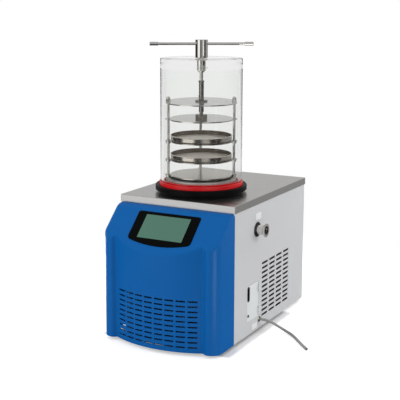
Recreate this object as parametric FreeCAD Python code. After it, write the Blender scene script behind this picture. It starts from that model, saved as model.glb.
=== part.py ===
import FreeCAD, Part
import math
import os

# Bench-top freeze dryer with a stoppering chamber, in millimetres with +Z up.
# It is drawn about the axis of the cold trap and the clear chamber, with the control
# panel facing -Y and the vacuum port facing +X.  save() then moves every piece so that
# the origin is the middle of the footprint, on the floor.

V = FreeCAD.Vector
X_AXIS = V(1, 0, 0)
Y_AXIS = V(0, 1, 0)
Z_AXIS = V(0, 0, 1)

# --- steel cabinet ---------------------------------------------------------------------
CABINET_WIDTH = 372.0       # over the lips of the top cover
CABINET_TOP = 408.0         # floor to the top cover
BODY_DEPTH = 512.0          # steel body, front plane to the back of the cover
AXIS_SETBACK = 150.0        # chamber axis behind the front plane
FOOT_HEIGHT = 10.0
PANEL_SHEET = 1.2
PAN_SHEET = 1.5
COVER_LIP = 21.0
COVER_EDGE_RADIUS = 2.0
SEAM = 0.3                  # gap between neighbouring covers
PANEL_FLANGE = 14.0         # inward folds of the side panels
PANEL_FOLD_RADIUS = 3.0
PAN_FLANGE = 20.0

HALF_WIDTH = CABINET_WIDTH / 2
FRONT = -AXIS_SETBACK
BACK = BODY_DEPTH - AXIS_SETBACK
PANEL_FACE = HALF_WIDTH - PANEL_SHEET - SEAM
PANEL_INSIDE = PANEL_FACE - PANEL_SHEET
COVER_UNDERSIDE = CABINET_TOP - PANEL_SHEET
PAN_TOP = FOOT_HEIGHT + PAN_SHEET

# --- side and back openings ------------------------------------------------------------
VENT_LENGTH = 42.0
VENT_HEIGHT = 7.0
VENT_COLUMNS = 4
VENT_ROWS = 12
VENT_PITCH_Y = 52.0
VENT_PITCH_Z = 14.4
VENT_FIRST_Y = 58.0         # centre of the foremost column
VENT_FIRST_Z = 43.5         # centre of the lowest row
BACK_VENT_ROWS = 6

PORT_HEIGHT = 313.0         # vacuum port axis above the floor
PORT_TUBE_RADIUS = 14.0
PORT_BORE = 12.5
PORT_FLANGE_RADIUS = 20.0
PORT_FLANGE_RIM = 3.0
PORT_FLANGE_TAPER = 4.0
PORT_REACH = 29.0           # panel face to the flange face
PORT_RECESS = 5.0           # counterbore for the centring ring
GROMMET_HOLE = 20.0
GROMMET_LIP = 2.0
GROMMET_LIP_THICKNESS = 1.5

DOOR_LENGTH = 75.5
DOOR_HEIGHT = 107.0
DOOR_FRONT_Y = -64.0
DOOR_BOTTOM_Z = 49.0
DOOR_GAP = 0.8
PULL_WIDTH = 14.0
PULL_HEIGHT = 45.0
PULL_DEPTH = 10.0
PULL_INSET = 1.5             # pull to the edges of the door
LOCK_RADIUS = 4.0
LOCK_HEIGHT = 67.5
HINGE_PIN_RADIUS = 1.2
KNUCKLE_RADIUS = 2.6
KNUCKLE_LENGTH = 12.0

# --- blue front moulding ---------------------------------------------------------------
NOSE_DEPTH = 107.0          # front plane of the steel body to the pillars
NOSE_BULGE = 25.0           # how far the middle stands out past the pillars
NOSE_WALL = 3.5
CHIN_HEIGHT = 305.0         # lower edge of the sloped face, above the floor
BROW_LEDGE = 19.5
BROW_RADIUS = 38.0
PILLAR_CORNER = 30.0
PILLAR_WIDTH = 31.0
GROOVE_WIDTH = 19.0
GROOVE_DEPTH = 6.5
EDGE_RADIUS = 10.0
GRILLE_COLUMNS = 8
GRILLE_ROWS = 10
GRILLE_PITCH_X = 32.2
GRILLE_PITCH_Z = 14.5
GRILLE_SLOT = (26.5, 4.8)
GRILLE_FIRST_Z = 25.5

# --- touch screen on the slope ---------------------------------------------------------
BEZEL_WIDTH = 200.0
BEZEL_LOW = 6.5             # side edges start this far up the slope
BEZEL_HIGH = 101.0
BEZEL_BOW = 16.5            # sag of the lower edge in the middle
BEZEL_CORNERS = (12.0, 7.0)     # lower and upper
BEZEL_RECESS = 2.0
BEZEL_PROUD = 1.5
GLASS_WIDTH = 142.0
GLASS_HEIGHT = 79.0
GLASS_LOW = 12.0
FIT = 0.15                  # clearance round parts that drop into a recess

# --- drying rack -----------------------------------------------------------------------
RACK_YAW = 29.0             # the free-standing rack and the handle are turned by this
TRAY_RADIUS = 90.0
TRAY_HEIGHT = 15.0
TRAY_WALL = 1.0
TRAY_BEAD = 1.2             # radius of the rolled rim
POST_RADIUS = 4.0
POST_CLEARANCE = 3.0        # tray rim to post
PLATE = 3.0
EAR_RADIUS = 9.0
TOP_PLATE_MARGIN = 7.0      # plate edge past the post circle
PRESS_PLATE_MARGIN = 4.0    # plate edge past the tray
SHELF_MARGIN = 1.5
FOOT_RING_HEIGHT = 19.0
FOOT_RING_WIDTH = 13.0
SHELF_HEIGHTS = (28.0, 74.0, 128.0)     # shelf tops above the foot of the rack
PRESS_HEIGHT = 192.0
TOP_HEIGHT = 241.0
COLLAR_RADIUS = 7.5
COLLAR_HEIGHT = 6.0
CAP_NUT_FLATS = 12.0
CAP_NUT_HEIGHT = 14.0
POST_CIRCLE = TRAY_RADIUS + POST_CLEARANCE + POST_RADIUS

# --- cold trap -------------------------------------------------------------------------
POT_RADIUS = POST_CIRCLE + 1.0      # the rack's foot ring bridges the mouth
POT_WALL = 1.5
POT_DEPTH = 146.0
POT_FLANGE = 20.0
POT_CORNER = 12.0
COIL_TUBE = 4.0
COIL_PITCH = 10.0
FOAM_RADIUS = POT_RADIUS + 45.0
FOAM_BASE = 28.0
FLANGE_RADIUS = POT_RADIUS + 37.0
FLANGE_STEP_RADIUS = POT_RADIUS + 25.0
FLANGE_STEP = 9.0
FLANGE_THICKNESS = 24.0
SEAL_BASE = 6.0
SEAL_LIP = 8.0
SEAL_SKIRT = (3.0, 4.5)      # thickness, height above the chamber's foot
SEAL_INNER = POT_RADIUS + 10.0

# --- clear chamber ---------------------------------------------------------------------
CHAMBER_RADIUS = POT_RADIUS + 22.0
CHAMBER_WALL = 8.0
CHAMBER_HEIGHT = 333.0
LID_THICKNESS = 30.0
LID_CHAMFER = 1.5

# --- press spindle ---------------------------------------------------------------------
ROD_RADIUS = 5.0
SCREW_RADIUS = 9.0
SCREW_ABOVE = 60.0          # lead screw above the top plate
SCREW_BELOW = 29.0          # lead screw below the top plate
RUNNING = 0.05              # radial clearance of turning fits
SLIDING = 0.15
HUB_RADIUS = 18.5
HUB_HEIGHT = 52.5
HUB_LIFT = 0.5
BAR_DROP = 12.0             # bar centre below the top of the hub
BAR_RADIUS = 4.0
BAR_LENGTH = 300.0
GRIP_RADIUS = 5.5
GRIP_LENGTH = 25.0
GLAND_FLANGE = (18.0, 8.0)
GLAND_BARREL = 12.4
GLAND_TAIL = 9.0
GLAND_NUT_FLATS = 30.0
GLAND_NUT_HEIGHT = 9.5
SWIVEL_RADIUS = 17.5
SWIVEL_HEIGHT = 11.0

# --- cooling side ----------------------------------------------------------------------
CONDENSER = (230.0, 36.0, 188.0)
CONDENSER_FRONT_GAP = 20.0  # pillar plane to the fins
FAN_RADIUS = 86.0
FAN_BLADES = 5
COMPRESSOR_RADIUS = 72.0
COMPRESSOR_HEIGHT = 180.0
PIPE_RADIUS = 4.0
SUCTION_RADIUS = 5.0
PIPE_BEND = 14.0
DRIER_RADIUS = 10.0
DRIER_LENGTH = 90.0

# --- drain -----------------------------------------------------------------------------
DRAIN_Y = 19.0
DRAIN_Z = 38.0
DRAIN_PIPE_RADIUS = 6.0
DRAIN_BEND = 30.0
VALVE_LENGTH = 44.0
VALVE_RADIUS = 11.0
LEVER_LENGTH = 44.0
OUTLET_REACH = 2.5
TUBE_RADIUS = 4.0
# the free drain tube, from the outlet to its cut end
TUBE_ROUTE = [
    (187.0, 19.0, 38.0),
    (203.0, 19.0, 38.0),
    (221.0, 27.0, 32.0),
    (238.0, 39.0, 18.0),
    (262.0, 42.0, 6.0),
    (289.0, 26.0, 4.1),
    (317.0, -5.0, 4.1),
    (343.0, -36.0, 4.1),
    (369.0, -63.0, 4.1),
]

# --- levels worked out from the sizes above --------------------------------------------
FLANGE_TOP = CABINET_TOP + FLANGE_THICKNESS
CHAMBER_FOOT = FLANGE_TOP + SEAL_BASE
LID_UNDERSIDE = CHAMBER_FOOT + CHAMBER_HEIGHT
LID_TOP = LID_UNDERSIDE + LID_THICKNESS
TOP_PLATE_TOP = FLANGE_TOP + TOP_HEIGHT
PRESS_TOP = FLANGE_TOP + PRESS_HEIGHT
SCREW_TOP = TOP_PLATE_TOP + SCREW_ABOVE
SCREW_BOTTOM = TOP_PLATE_TOP - PLATE - SCREW_BELOW
HUB_BOTTOM = LID_TOP + HUB_LIFT
HUB_TOP = HUB_BOTTOM + HUB_HEIGHT
BAR_HEIGHT = HUB_TOP - BAR_DROP
POT_FLOOR = CABINET_TOP - POT_DEPTH
FOAM_BOTTOM = POT_FLOOR - FOAM_BASE
PIPE_LEVEL = FOAM_BOTTOM - 15.0
PILLAR_Y = FRONT - NOSE_DEPTH
MOULDING_TOP = CABINET_TOP - COVER_LIP - SEAM
MOULDING_HALF = HALF_WIDTH - 0.5
SLOPE_RISE = MOULDING_TOP - CHIN_HEIGHT
SLOPE_RUN = NOSE_DEPTH - BROW_LEDGE
SLOPE_ANGLE = math.atan2(SLOPE_RISE, SLOPE_RUN)
PORT_FACE = PANEL_FACE + PORT_REACH
REAR_FACE = BACK - PANEL_SHEET - SEAM
SCREW_HEAD = 2.2
# middle of the footprint, seen from the chamber axis
ORIGIN_X = (PORT_FACE - HALF_WIDTH) / 2
ORIGIN_Y = (REAR_FACE + SCREW_HEAD + PILLAR_Y - NOSE_BULGE) / 2


# --- plain shapes ----------------------------------------------------------------------
def box(x0, x1, y0, y1, z0, z1):
    """Block between two corners."""
    return Part.makeBox(x1 - x0, y1 - y0, z1 - z0, V(x0, y0, z0))


def disc(radius, z0, z1, x=0.0, y=0.0):
    """Upright cylinder between two heights."""
    return Part.makeCylinder(radius, z1 - z0, V(x, y, z0), Z_AXIS)


def ring(outer, inner, z0, z1, x=0.0, y=0.0):
    """Upright round tube between two heights."""
    return disc(outer, z0, z1, x, y).cut(disc(inner, z0 - 1, z1 + 1, x, y))


def rod(radius, start, axis, length):
    """Cylinder from a start point along an axis."""
    return Part.makeCylinder(radius, length, V(*start), axis)


def turned(profile, axis=Z_AXIS, at=V(0, 0, 0)):
    """Solid of revolution; the profile is a list of (radius, height) corners."""
    points = [V(r, 0, h) for r, h in profile]
    face = Part.Face(Part.makePolygon(points + points[:1]))
    solid = face.revolve(V(0, 0, 0), Z_AXIS, 360)
    solid.Placement = FreeCAD.Placement(at, FreeCAD.Rotation(Z_AXIS, axis))
    return solid


def hexagon(flats, z0, z1, x=0.0, y=0.0):
    """Upright hexagonal bar."""
    corner = flats / math.sqrt(3)
    points = []
    for k in range(7):
        angle = math.radians(60 * k)
        points.append(V(x + corner * math.cos(angle), y + corner * math.sin(angle), z0))
    return Part.Face(Part.makePolygon(points)).extrude(V(0, 0, z1 - z0))


def slot(length, width, depth, centre, along, through):
    """Round-ended bar, for cutting slots; depth runs both ways from the centre."""
    half = max(length - width, 0.01) / 2
    across = through.cross(along)
    centre = V(*centre)
    start = centre - through * depth
    corners = []
    for s, t in ((-1, -1), (1, -1), (1, 1), (-1, 1)):
        corners.append(start + along * (s * half) + across * (t * width / 2))
    right_mid = start + along * (half + width / 2)
    left_mid = start - along * (half + width / 2)
    edges = [
        Part.LineSegment(corners[0], corners[1]).toShape(),
        Part.Arc(corners[1], right_mid, corners[2]).toShape(),
        Part.LineSegment(corners[2], corners[3]).toShape(),
        Part.Arc(corners[3], left_mid, corners[0]).toShape(),
    ]
    return Part.Face(Part.Wire(edges)).extrude(through * (2 * depth))


def upright_edges(shape, wanted):
    """Straight edges parallel to Z whose middle satisfies the test."""
    found = []
    for edge in shape.Edges:
        first, last = edge.Vertexes[0].Point, edge.Vertexes[-1].Point
        upright = abs(first.x - last.x) < 1e-6 and abs(first.y - last.y) < 1e-6
        if upright and wanted((first + last) * 0.5):
            found.append(edge)
    return found


def level_edges(shape, height, wanted=lambda point: True):
    """Edges that lie at one height and satisfy the test."""
    found = []
    for edge in shape.Edges:
        span = edge.BoundBox
        level = abs(span.ZMin - height) < 1e-5 and abs(span.ZMax - height) < 1e-5
        if level and wanted(edge.CenterOfMass):
            found.append(edge)
    return found


def bent_path(points, bend):
    """Straight runs joined by tangent arcs; bend(run_in, run_out, turn) is a radius."""
    points = [V(*p) for p in points]
    edges, radii = [], []
    start = points[0]
    for before, corner, after in zip(points, points[1:], points[2:]):
        into = corner - before
        out = after - corner
        turn = into.getAngle(out)
        radius = bend(into.Length, out.Length, turn)
        radii.append(radius)
        reach = radius * math.tan(turn / 2)
        into_unit = V(into).normalize()
        out_unit = V(out).normalize()
        first = corner - into_unit * reach
        last = corner + out_unit * reach
        inward = (out_unit - into_unit).normalize()
        middle = corner + inward * (radius / math.cos(turn / 2) - radius)
        edges.append(Part.LineSegment(start, first).toShape())
        edges.append(Part.Arc(first, middle, last).toShape())
        start = last
    edges.append(Part.LineSegment(start, points[-1]).toShape())
    return Part.Wire(edges), radii


def swept(path, radius):
    """Round bar along a path."""
    edge = path.Edges[0]
    start = edge.valueAt(edge.FirstParameter)
    axis = edge.tangentAt(edge.FirstParameter)
    circle = Part.Wire(Part.makeCircle(radius, start, axis))
    return path.makePipeShell([circle], True, False)


def pipe(points, radius, wall=1.0, bend=PIPE_BEND):
    """Hollow pipe with one bend radius."""
    path, _ = bent_path(points, lambda run_in, run_out, turn: bend)
    return swept(path, radius).cut(swept(path, radius - wall))


def group(shapes):
    """Several separate solids in one node."""
    return Part.makeCompound(shapes)


def on_slope(shape):
    """Move a shape drawn flat (x, up the slope, outwards) onto the sloped face."""
    turn = FreeCAD.Rotation(X_AXIS, math.degrees(SLOPE_ANGLE))
    shape.Placement = FreeCAD.Placement(V(0, PILLAR_Y, CHIN_HEIGHT), turn)
    return shape


def yawed(shape):
    """Turn the rack and the handle about the chamber axis."""
    shape.rotate(V(0, 0, 0), Z_AXIS, RACK_YAW)
    return shape


def post_places():
    """Posts at the right, the back and the left, leaving the front open for the trays."""
    places = []
    for angle in (0, 90, 180):
        turn = math.radians(angle)
        places.append((POST_CIRCLE * math.cos(turn), POST_CIRCLE * math.sin(turn)))
    return places


# --- steel cabinet ---------------------------------------------------------------------
def base_pan():
    """Folded floor tray with a tongue that carries the condenser inside the moulding."""
    half = PANEL_INSIDE - SEAM
    back = BACK - 2 * PANEL_SHEET - 3 * SEAM - PANEL_SHEET
    front = FRONT + SEAM + PANEL_SHEET + SEAM
    tray = box(-half, half, front, back, FOOT_HEIGHT, FOOT_HEIGHT + PAN_FLANGE)
    tray = tray.makeFillet(PANEL_FOLD_RADIUS, upright_edges(tray, lambda p: True))
    hollow = box(-half + PAN_SHEET, half - PAN_SHEET, front + PAN_SHEET, back - PAN_SHEET,
                 PAN_TOP, FOOT_HEIGHT + PAN_FLANGE + 1)
    tongue = box(-CONDENSER[0] / 2 - 20, CONDENSER[0] / 2 + 20, PILLAR_Y + 12, front,
                 FOOT_HEIGHT, PAN_TOP)
    return tray.cut(hollow).fuse(tongue).removeSplitter()


def foot_places():
    """Centres of the four feet."""
    front = (CONDENSER[0] / 2, PILLAR_Y + 45)
    rear = (HALF_WIDTH - 26, BACK - 80)
    return [(side * x, y) for x, y in (front, rear) for side in (-1, 1)]


def rubber_feet():
    """Four moulded feet with a screw recess."""
    feet = []
    for x, y in foot_places():
        profile = [(3, 0), (13, 0), (14, 1), (15.5, FOOT_HEIGHT), (0, FOOT_HEIGHT),
                   (0, 6), (3, 6)]
        feet.append(turned(profile, at=V(x, y, 0)))
    return group(feet)


def panel_blank():
    """Right side panel before its openings: web with folded front and back flanges."""
    y0 = FRONT + SEAM
    y1 = BACK - 2 * PANEL_SHEET - 2 * SEAM
    z1 = COVER_UNDERSIDE - SEAM
    outer = box(PANEL_FACE - PANEL_FLANGE, PANEL_FACE, y0, y1, FOOT_HEIGHT, z1)
    outer = outer.makeFillet(PANEL_FOLD_RADIUS,
                             upright_edges(outer, lambda p: p.x > PANEL_FACE - 1))
    inner = box(PANEL_FACE - PANEL_FLANGE - 1, PANEL_INSIDE, y0 + PANEL_SHEET,
                y1 - PANEL_SHEET, FOOT_HEIGHT - 1, z1 + 1)
    inner = inner.makeFillet(PANEL_FOLD_RADIUS - PANEL_SHEET,
                             upright_edges(inner, lambda p: p.x > PANEL_INSIDE - 1))
    return outer.cut(inner)


def side_vents():
    """Cutters for the grid of round-ended slots in a side panel."""
    cutters = []
    for column in range(VENT_COLUMNS):
        for row in range(VENT_ROWS):
            centre = (PANEL_FACE, VENT_FIRST_Y + column * VENT_PITCH_Y,
                      VENT_FIRST_Z + row * VENT_PITCH_Z)
            cutters.append(slot(VENT_LENGTH, VENT_HEIGHT, 3, centre, Y_AXIS, X_AXIS))
    return group(cutters)


def right_panel():
    """Side panel with vents, vacuum port, service door and drain openings."""
    panel = panel_blank().cut(side_vents())
    port = rod(GROMMET_HOLE, (PANEL_INSIDE - 2, 0, PORT_HEIGHT), X_AXIS, 8)
    door = box(PANEL_INSIDE - 2, PANEL_FACE + 2, DOOR_FRONT_Y - DOOR_GAP,
               DOOR_FRONT_Y + DOOR_LENGTH + DOOR_GAP, DOOR_BOTTOM_Z - DOOR_GAP,
               DOOR_BOTTOM_Z + DOOR_HEIGHT + DOOR_GAP)
    drain = rod(DRAIN_PIPE_RADIUS + FIT, (PANEL_INSIDE - 2, DRAIN_Y, DRAIN_Z), X_AXIS, 8)
    return panel.cut(group([port, door, drain]))


def left_panel():
    """Mirror of the side panel with its vents only."""
    return panel_blank().cut(side_vents()).mirror(V(0, 0, 0), X_AXIS)


INLET_X = -100.0
INLET_Z = 70.0
INLET_CUTOUT = (28.0, 47.0)
INLET_FLANGE = (33.0, 52.0)


def screw_places():
    """Screws round the edge of the rear panel, as (x, z)."""
    x = HALF_WIDTH - 12
    z_low = FOOT_HEIGHT + 15
    z_high = COVER_UNDERSIDE - COVER_LIP - 12
    z_mid = (z_low + z_high) / 2
    return [(side * x, z) for side in (-1, 1) for z in (z_low, z_mid, z_high)]


def rear_panel():
    """Flat back sheet with vents, inlet cutout and screw holes."""
    y1 = REAR_FACE
    half = HALF_WIDTH - 5
    sheet = box(-half, half, y1 - PANEL_SHEET, y1, FOOT_HEIGHT, COVER_UNDERSIDE - SEAM)
    cutters = []
    for column in range(VENT_COLUMNS):
        for row in range(BACK_VENT_ROWS):
            x = (column - (VENT_COLUMNS - 1) / 2) * VENT_PITCH_Y
            z = CABINET_TOP - 190 + row * VENT_PITCH_Z
            cutters.append(slot(VENT_LENGTH, VENT_HEIGHT, 3, (x, y1, z), X_AXIS, Y_AXIS))
    cutters.append(box(INLET_X - INLET_CUTOUT[0] / 2, INLET_X + INLET_CUTOUT[0] / 2,
                       y1 - 3, y1 + 3, INLET_Z - INLET_CUTOUT[1] / 2,
                       INLET_Z + INLET_CUTOUT[1] / 2))
    for x, z in screw_places():
        cutters.append(rod(2.0, (x, y1 - 3, z), Y_AXIS, 6))
    return sheet.cut(group(cutters))


def rear_panel_screws():
    """Pan-head screws that hold the rear panel to the side flanges."""
    y1 = REAR_FACE
    screws = []
    for x, z in screw_places():
        head = rod(3.8, (x, y1, z), Y_AXIS, SCREW_HEAD)
        head = head.makeFillet(1.0, [e for e in head.Edges if e.CenterOfMass.y > y1 + 2])
        shank = rod(2.0, (x, y1 - PANEL_SHEET, z), Y_AXIS, PANEL_SHEET)
        cross = box(x - 2.2, x + 2.2, y1 + 1.2, y1 + 3, z - 0.4, z + 0.4)
        cross = cross.fuse(box(x - 0.4, x + 0.4, y1 + 1.2, y1 + 3, z - 2.2, z + 2.2))
        screws.append(head.fuse(shank).cut(cross))
    return group(screws)


def top_cover():
    """Stainless lid of the cabinet with its edges folded down and the trap opening."""
    y0 = FRONT - PANEL_SHEET - SEAM
    outer = box(-HALF_WIDTH, HALF_WIDTH, y0, BACK, CABINET_TOP - COVER_LIP, CABINET_TOP)
    outer = outer.makeFillet(COVER_EDGE_RADIUS, upright_edges(outer, lambda p: True))
    outer = outer.makeFillet(COVER_EDGE_RADIUS * 0.8, level_edges(outer, CABINET_TOP))
    inner = box(-HALF_WIDTH + PANEL_SHEET, HALF_WIDTH - PANEL_SHEET, y0 + PANEL_SHEET,
                BACK - PANEL_SHEET, CABINET_TOP - COVER_LIP - 1, COVER_UNDERSIDE)
    inner = inner.makeFillet(COVER_EDGE_RADIUS - PANEL_SHEET + 0.4,
                             upright_edges(inner, lambda p: True))
    mouth = disc(POT_RADIUS + POT_WALL + SEAM, COVER_UNDERSIDE - 2, CABINET_TOP + 2)
    return outer.cut(inner).cut(mouth)


# --- front moulding --------------------------------------------------------------------
def moulding_outline(inset, back):
    """Plan of the moulding: two pillars with grooves beside a bulged middle."""
    bulge_end = MOULDING_HALF - PILLAR_WIDTH - GROOVE_WIDTH
    sag = NOSE_BULGE + GROOVE_DEPTH
    bulge_radius = (bulge_end ** 2 + sag ** 2) / (2 * sag)
    centre_y = PILLAR_Y - NOSE_BULGE + bulge_radius
    lean = math.asin(bulge_end / bulge_radius)
    inner_radius = bulge_radius - inset
    bulge_x = inner_radius * math.sin(lean)
    bulge_y = centre_y - inner_radius * math.cos(lean)
    half, corner = MOULDING_HALF - inset, PILLAR_CORNER - inset
    front = PILLAR_Y + inset
    flat_end = MOULDING_HALF - PILLAR_WIDTH
    reach = GROOVE_WIDTH * 0.45
    diagonal = corner * (1 - math.sqrt(0.5))

    def side(sign):
        """Edges of one half, from the back to the bulge."""
        def at(x, y):
            return V(sign * x, y, FOOT_HEIGHT)
        groove = Part.BezierCurve()
        groove.setPoles([
            at(flat_end, front), at(flat_end - reach, front),
            at(bulge_x + reach * math.cos(lean), bulge_y + reach * math.sin(lean)),
            at(bulge_x, bulge_y),
        ])
        return [
            Part.LineSegment(at(half, back), at(half, front + corner)).toShape(),
            Part.Arc(at(half, front + corner), at(half - diagonal, front + diagonal),
                     at(half - corner, front)).toShape(),
            Part.LineSegment(at(half - corner, front), at(flat_end, front)).toShape(),
            groove.toShape(),
        ]

    bulge = Part.Arc(V(bulge_x, bulge_y, FOOT_HEIGHT),
                     V(0, centre_y - inner_radius, FOOT_HEIGHT),
                     V(-bulge_x, bulge_y, FOOT_HEIGHT)).toShape()
    rear = Part.LineSegment(V(-half, back, FOOT_HEIGHT), V(half, back, FOOT_HEIGHT))
    edges = side(1) + [bulge] + side(-1) + [rear.toShape()]
    return Part.Face(Part.Wire(Part.__sortEdges__(edges)))


def brow_wedge(inset):
    """Everything above the ledge, the rolled brow and the slope, moved in by an inset."""
    cos_a, sin_a = math.cos(SLOPE_ANGLE), math.sin(SLOPE_ANGLE)
    top = MOULDING_TOP - inset
    # the slope line, moved inwards along its normal
    chin = V(0, PILLAR_Y + inset * sin_a, CHIN_HEIGHT - inset * cos_a)
    brow_y = chin.y + (top - chin.z) / math.tan(SLOPE_ANGLE)
    radius = BROW_RADIUS - inset
    reach = radius * math.tan(SLOPE_ANGLE / 2)
    centre = V(0, brow_y + reach, top - radius)
    half_angle = SLOPE_ANGLE / 2
    first = V(0, brow_y + reach, top)
    middle = centre + V(0, -radius * math.sin(half_angle), radius * math.cos(half_angle))
    last = centre + V(0, -radius * sin_a, radius * cos_a)
    far = V(0, chin.y - 80 * cos_a, chin.z - 80 * sin_a)
    behind = max(first.y, FRONT) + 40
    edges = [
        Part.LineSegment(V(0, behind, top), first).toShape(),
        Part.Arc(first, middle, last).toShape(),
        Part.LineSegment(last, far).toShape(),
        Part.LineSegment(far, V(0, far.y, top + 60)).toShape(),
        Part.LineSegment(V(0, far.y, top + 60), V(0, behind, top + 60)).toShape(),
        Part.LineSegment(V(0, behind, top + 60), V(0, behind, top)).toShape(),
    ]
    wedge = Part.Face(Part.Wire(edges)).extrude(V(2 * CABINET_WIDTH, 0, 0))
    wedge.translate(V(-CABINET_WIDTH, 0, 0))
    return wedge


def bezel_outline(grow, z0, z1):
    """Flat outline of the screen bezel, drawn in slope coordinates and thickened."""
    half = BEZEL_WIDTH / 2 + grow
    low = BEZEL_LOW - grow
    high = BEZEL_HIGH + grow
    edges = [
        Part.LineSegment(V(-half, high, z0), V(-half, low, z0)).toShape(),
        Part.Arc(V(-half, low, z0), V(0, low - BEZEL_BOW, z0), V(half, low, z0)).toShape(),
        Part.LineSegment(V(half, low, z0), V(half, high, z0)).toShape(),
        Part.LineSegment(V(half, high, z0), V(-half, high, z0)).toShape(),
    ]
    plate = Part.Face(Part.Wire(edges)).extrude(V(0, 0, z1 - z0))
    middle = (BEZEL_LOW + BEZEL_HIGH) / 2
    lower, upper = BEZEL_CORNERS
    plate = plate.makeFillet(lower + grow, upright_edges(plate, lambda p: p.y < middle))
    return plate.makeFillet(upper + grow, upright_edges(plate, lambda p: p.y > middle))


def slope_rim(shape):
    """Edges round the slope, the brow and the ledge of the moulding."""
    found = []
    for edge in shape.Edges:
        span = edge.BoundBox
        across = span.XLength > MOULDING_HALF and span.YLength < 1e-3
        upright = span.ZLength > CHIN_HEIGHT / 2
        low = span.ZMax < CHIN_HEIGHT / 2
        if not (across or upright or low):
            found.append(edge)
    return found


def front_moulding():
    """Blue shell: pillars, bulged grille, sloped face with the screen recess."""
    height = MOULDING_TOP - FOOT_HEIGHT
    outer = moulding_outline(0, FRONT).extrude(V(0, 0, height)).cut(brow_wedge(0))
    outer = outer.makeFillet(EDGE_RADIUS, slope_rim(outer))
    inner = moulding_outline(NOSE_WALL, FRONT + 1).extrude(V(0, 0, height + 2))
    inner.translate(V(0, 0, -1))
    inner = inner.cut(brow_wedge(NOSE_WALL))
    inner = inner.makeFillet(EDGE_RADIUS - NOSE_WALL, slope_rim(inner))
    shell = outer.cut(inner)

    cutters = []
    for column in range(GRILLE_COLUMNS):
        for row in range(GRILLE_ROWS):
            x = (column - (GRILLE_COLUMNS - 1) / 2) * GRILLE_PITCH_X
            z = GRILLE_FIRST_Z + row * GRILLE_PITCH_Z
            cutters.append(slot(GRILLE_SLOT[0], GRILLE_SLOT[1], NOSE_BULGE + 12,
                                (x, PILLAR_Y - NOSE_BULGE / 2, z), X_AXIS, Y_AXIS))
    recess = on_slope(bezel_outline(FIT, -BEZEL_RECESS, 6))
    window = on_slope(box(-GLASS_WIDTH / 2 + 4, GLASS_WIDTH / 2 - 4, GLASS_LOW + 4,
                          GLASS_LOW + GLASS_HEIGHT - 4, -NOSE_WALL - 3, 6))
    return shell.cut(group(cutters)).cut(recess).cut(window)


def glass_block(shrink, z0, z1):
    """Block of the display window in slope coordinates."""
    return box(-GLASS_WIDTH / 2 + shrink, GLASS_WIDTH / 2 - shrink, GLASS_LOW + shrink,
               GLASS_LOW + GLASS_HEIGHT - shrink, z0, z1)


def screen_bezel():
    """Glossy black frame with a bowed lower edge."""
    frame = bezel_outline(0, -BEZEL_RECESS, BEZEL_PROUD)
    rim = [e for e in level_edges(frame, BEZEL_PROUD)]
    frame = frame.makeFillet(0.8, rim)
    return on_slope(frame.cut(glass_block(-FIT, -BEZEL_RECESS - 1, BEZEL_PROUD + 1)))


def touch_panel():
    """Glass of the touch screen, set just below the bezel."""
    return on_slope(glass_block(0, -BEZEL_RECESS, BEZEL_PROUD - 0.4))


BOARD_GAP = 9.0


def display_module():
    """Metal-backed display with four studs for the board."""
    back = -NOSE_WALL - SEAM
    can = box(-GLASS_WIDTH / 2 - 8, GLASS_WIDTH / 2 + 8, GLASS_LOW - 6,
              GLASS_LOW + GLASS_HEIGHT + 6, back - 9, back)
    face = box(-GLASS_WIDTH / 2 + 5, GLASS_WIDTH / 2 - 5, GLASS_LOW + 5,
               GLASS_LOW + GLASS_HEIGHT - 5, back, -BEZEL_RECESS)
    module = can.fuse(face)
    for x in (-GLASS_WIDTH / 2, GLASS_WIDTH / 2):
        for u in (GLASS_LOW + 2, GLASS_LOW + GLASS_HEIGHT - 2):
            stud = disc(3, back - 9 - BOARD_GAP, back - 9, x, u)
            module = module.fuse(stud)
    return on_slope(module.removeSplitter())


def control_board():
    """Circuit board with its chips, terminal strip and supply transformer."""
    top = -NOSE_WALL - SEAM - 9 - BOARD_GAP
    board = box(-GLASS_WIDTH / 2 - 6, GLASS_WIDTH / 2 + 6, GLASS_LOW - 4,
                GLASS_LOW + GLASS_HEIGHT + 4, top - 1.6, top)
    under = top - 1.6
    blocks = [
        (-60, -30, 20, 50, 14), (-20, -4, 30, 46, 2), (6, 18, 24, 36, 2),
        (30, 42, 20, 28, 9), (48, 60, 20, 28, 9), (-62, 62, 74, 84, 11),
        (24, 30, 48, 54, 12), (36, 42, 48, 54, 12),
    ]
    for x0, x1, u0, u1, tall in blocks:
        board = board.fuse(box(x0, x1, u0, u1, under - tall, under))
    return on_slope(board.removeSplitter())


# --- mains inlet -----------------------------------------------------------------------
ROCKER_SIZE = (18.0, 12.0)
ROCKER_Z = INLET_Z + 14.0
ROCKER_SWING = 14.0
ROCKER_AXIS_Y = REAR_FACE - 5.0


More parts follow.
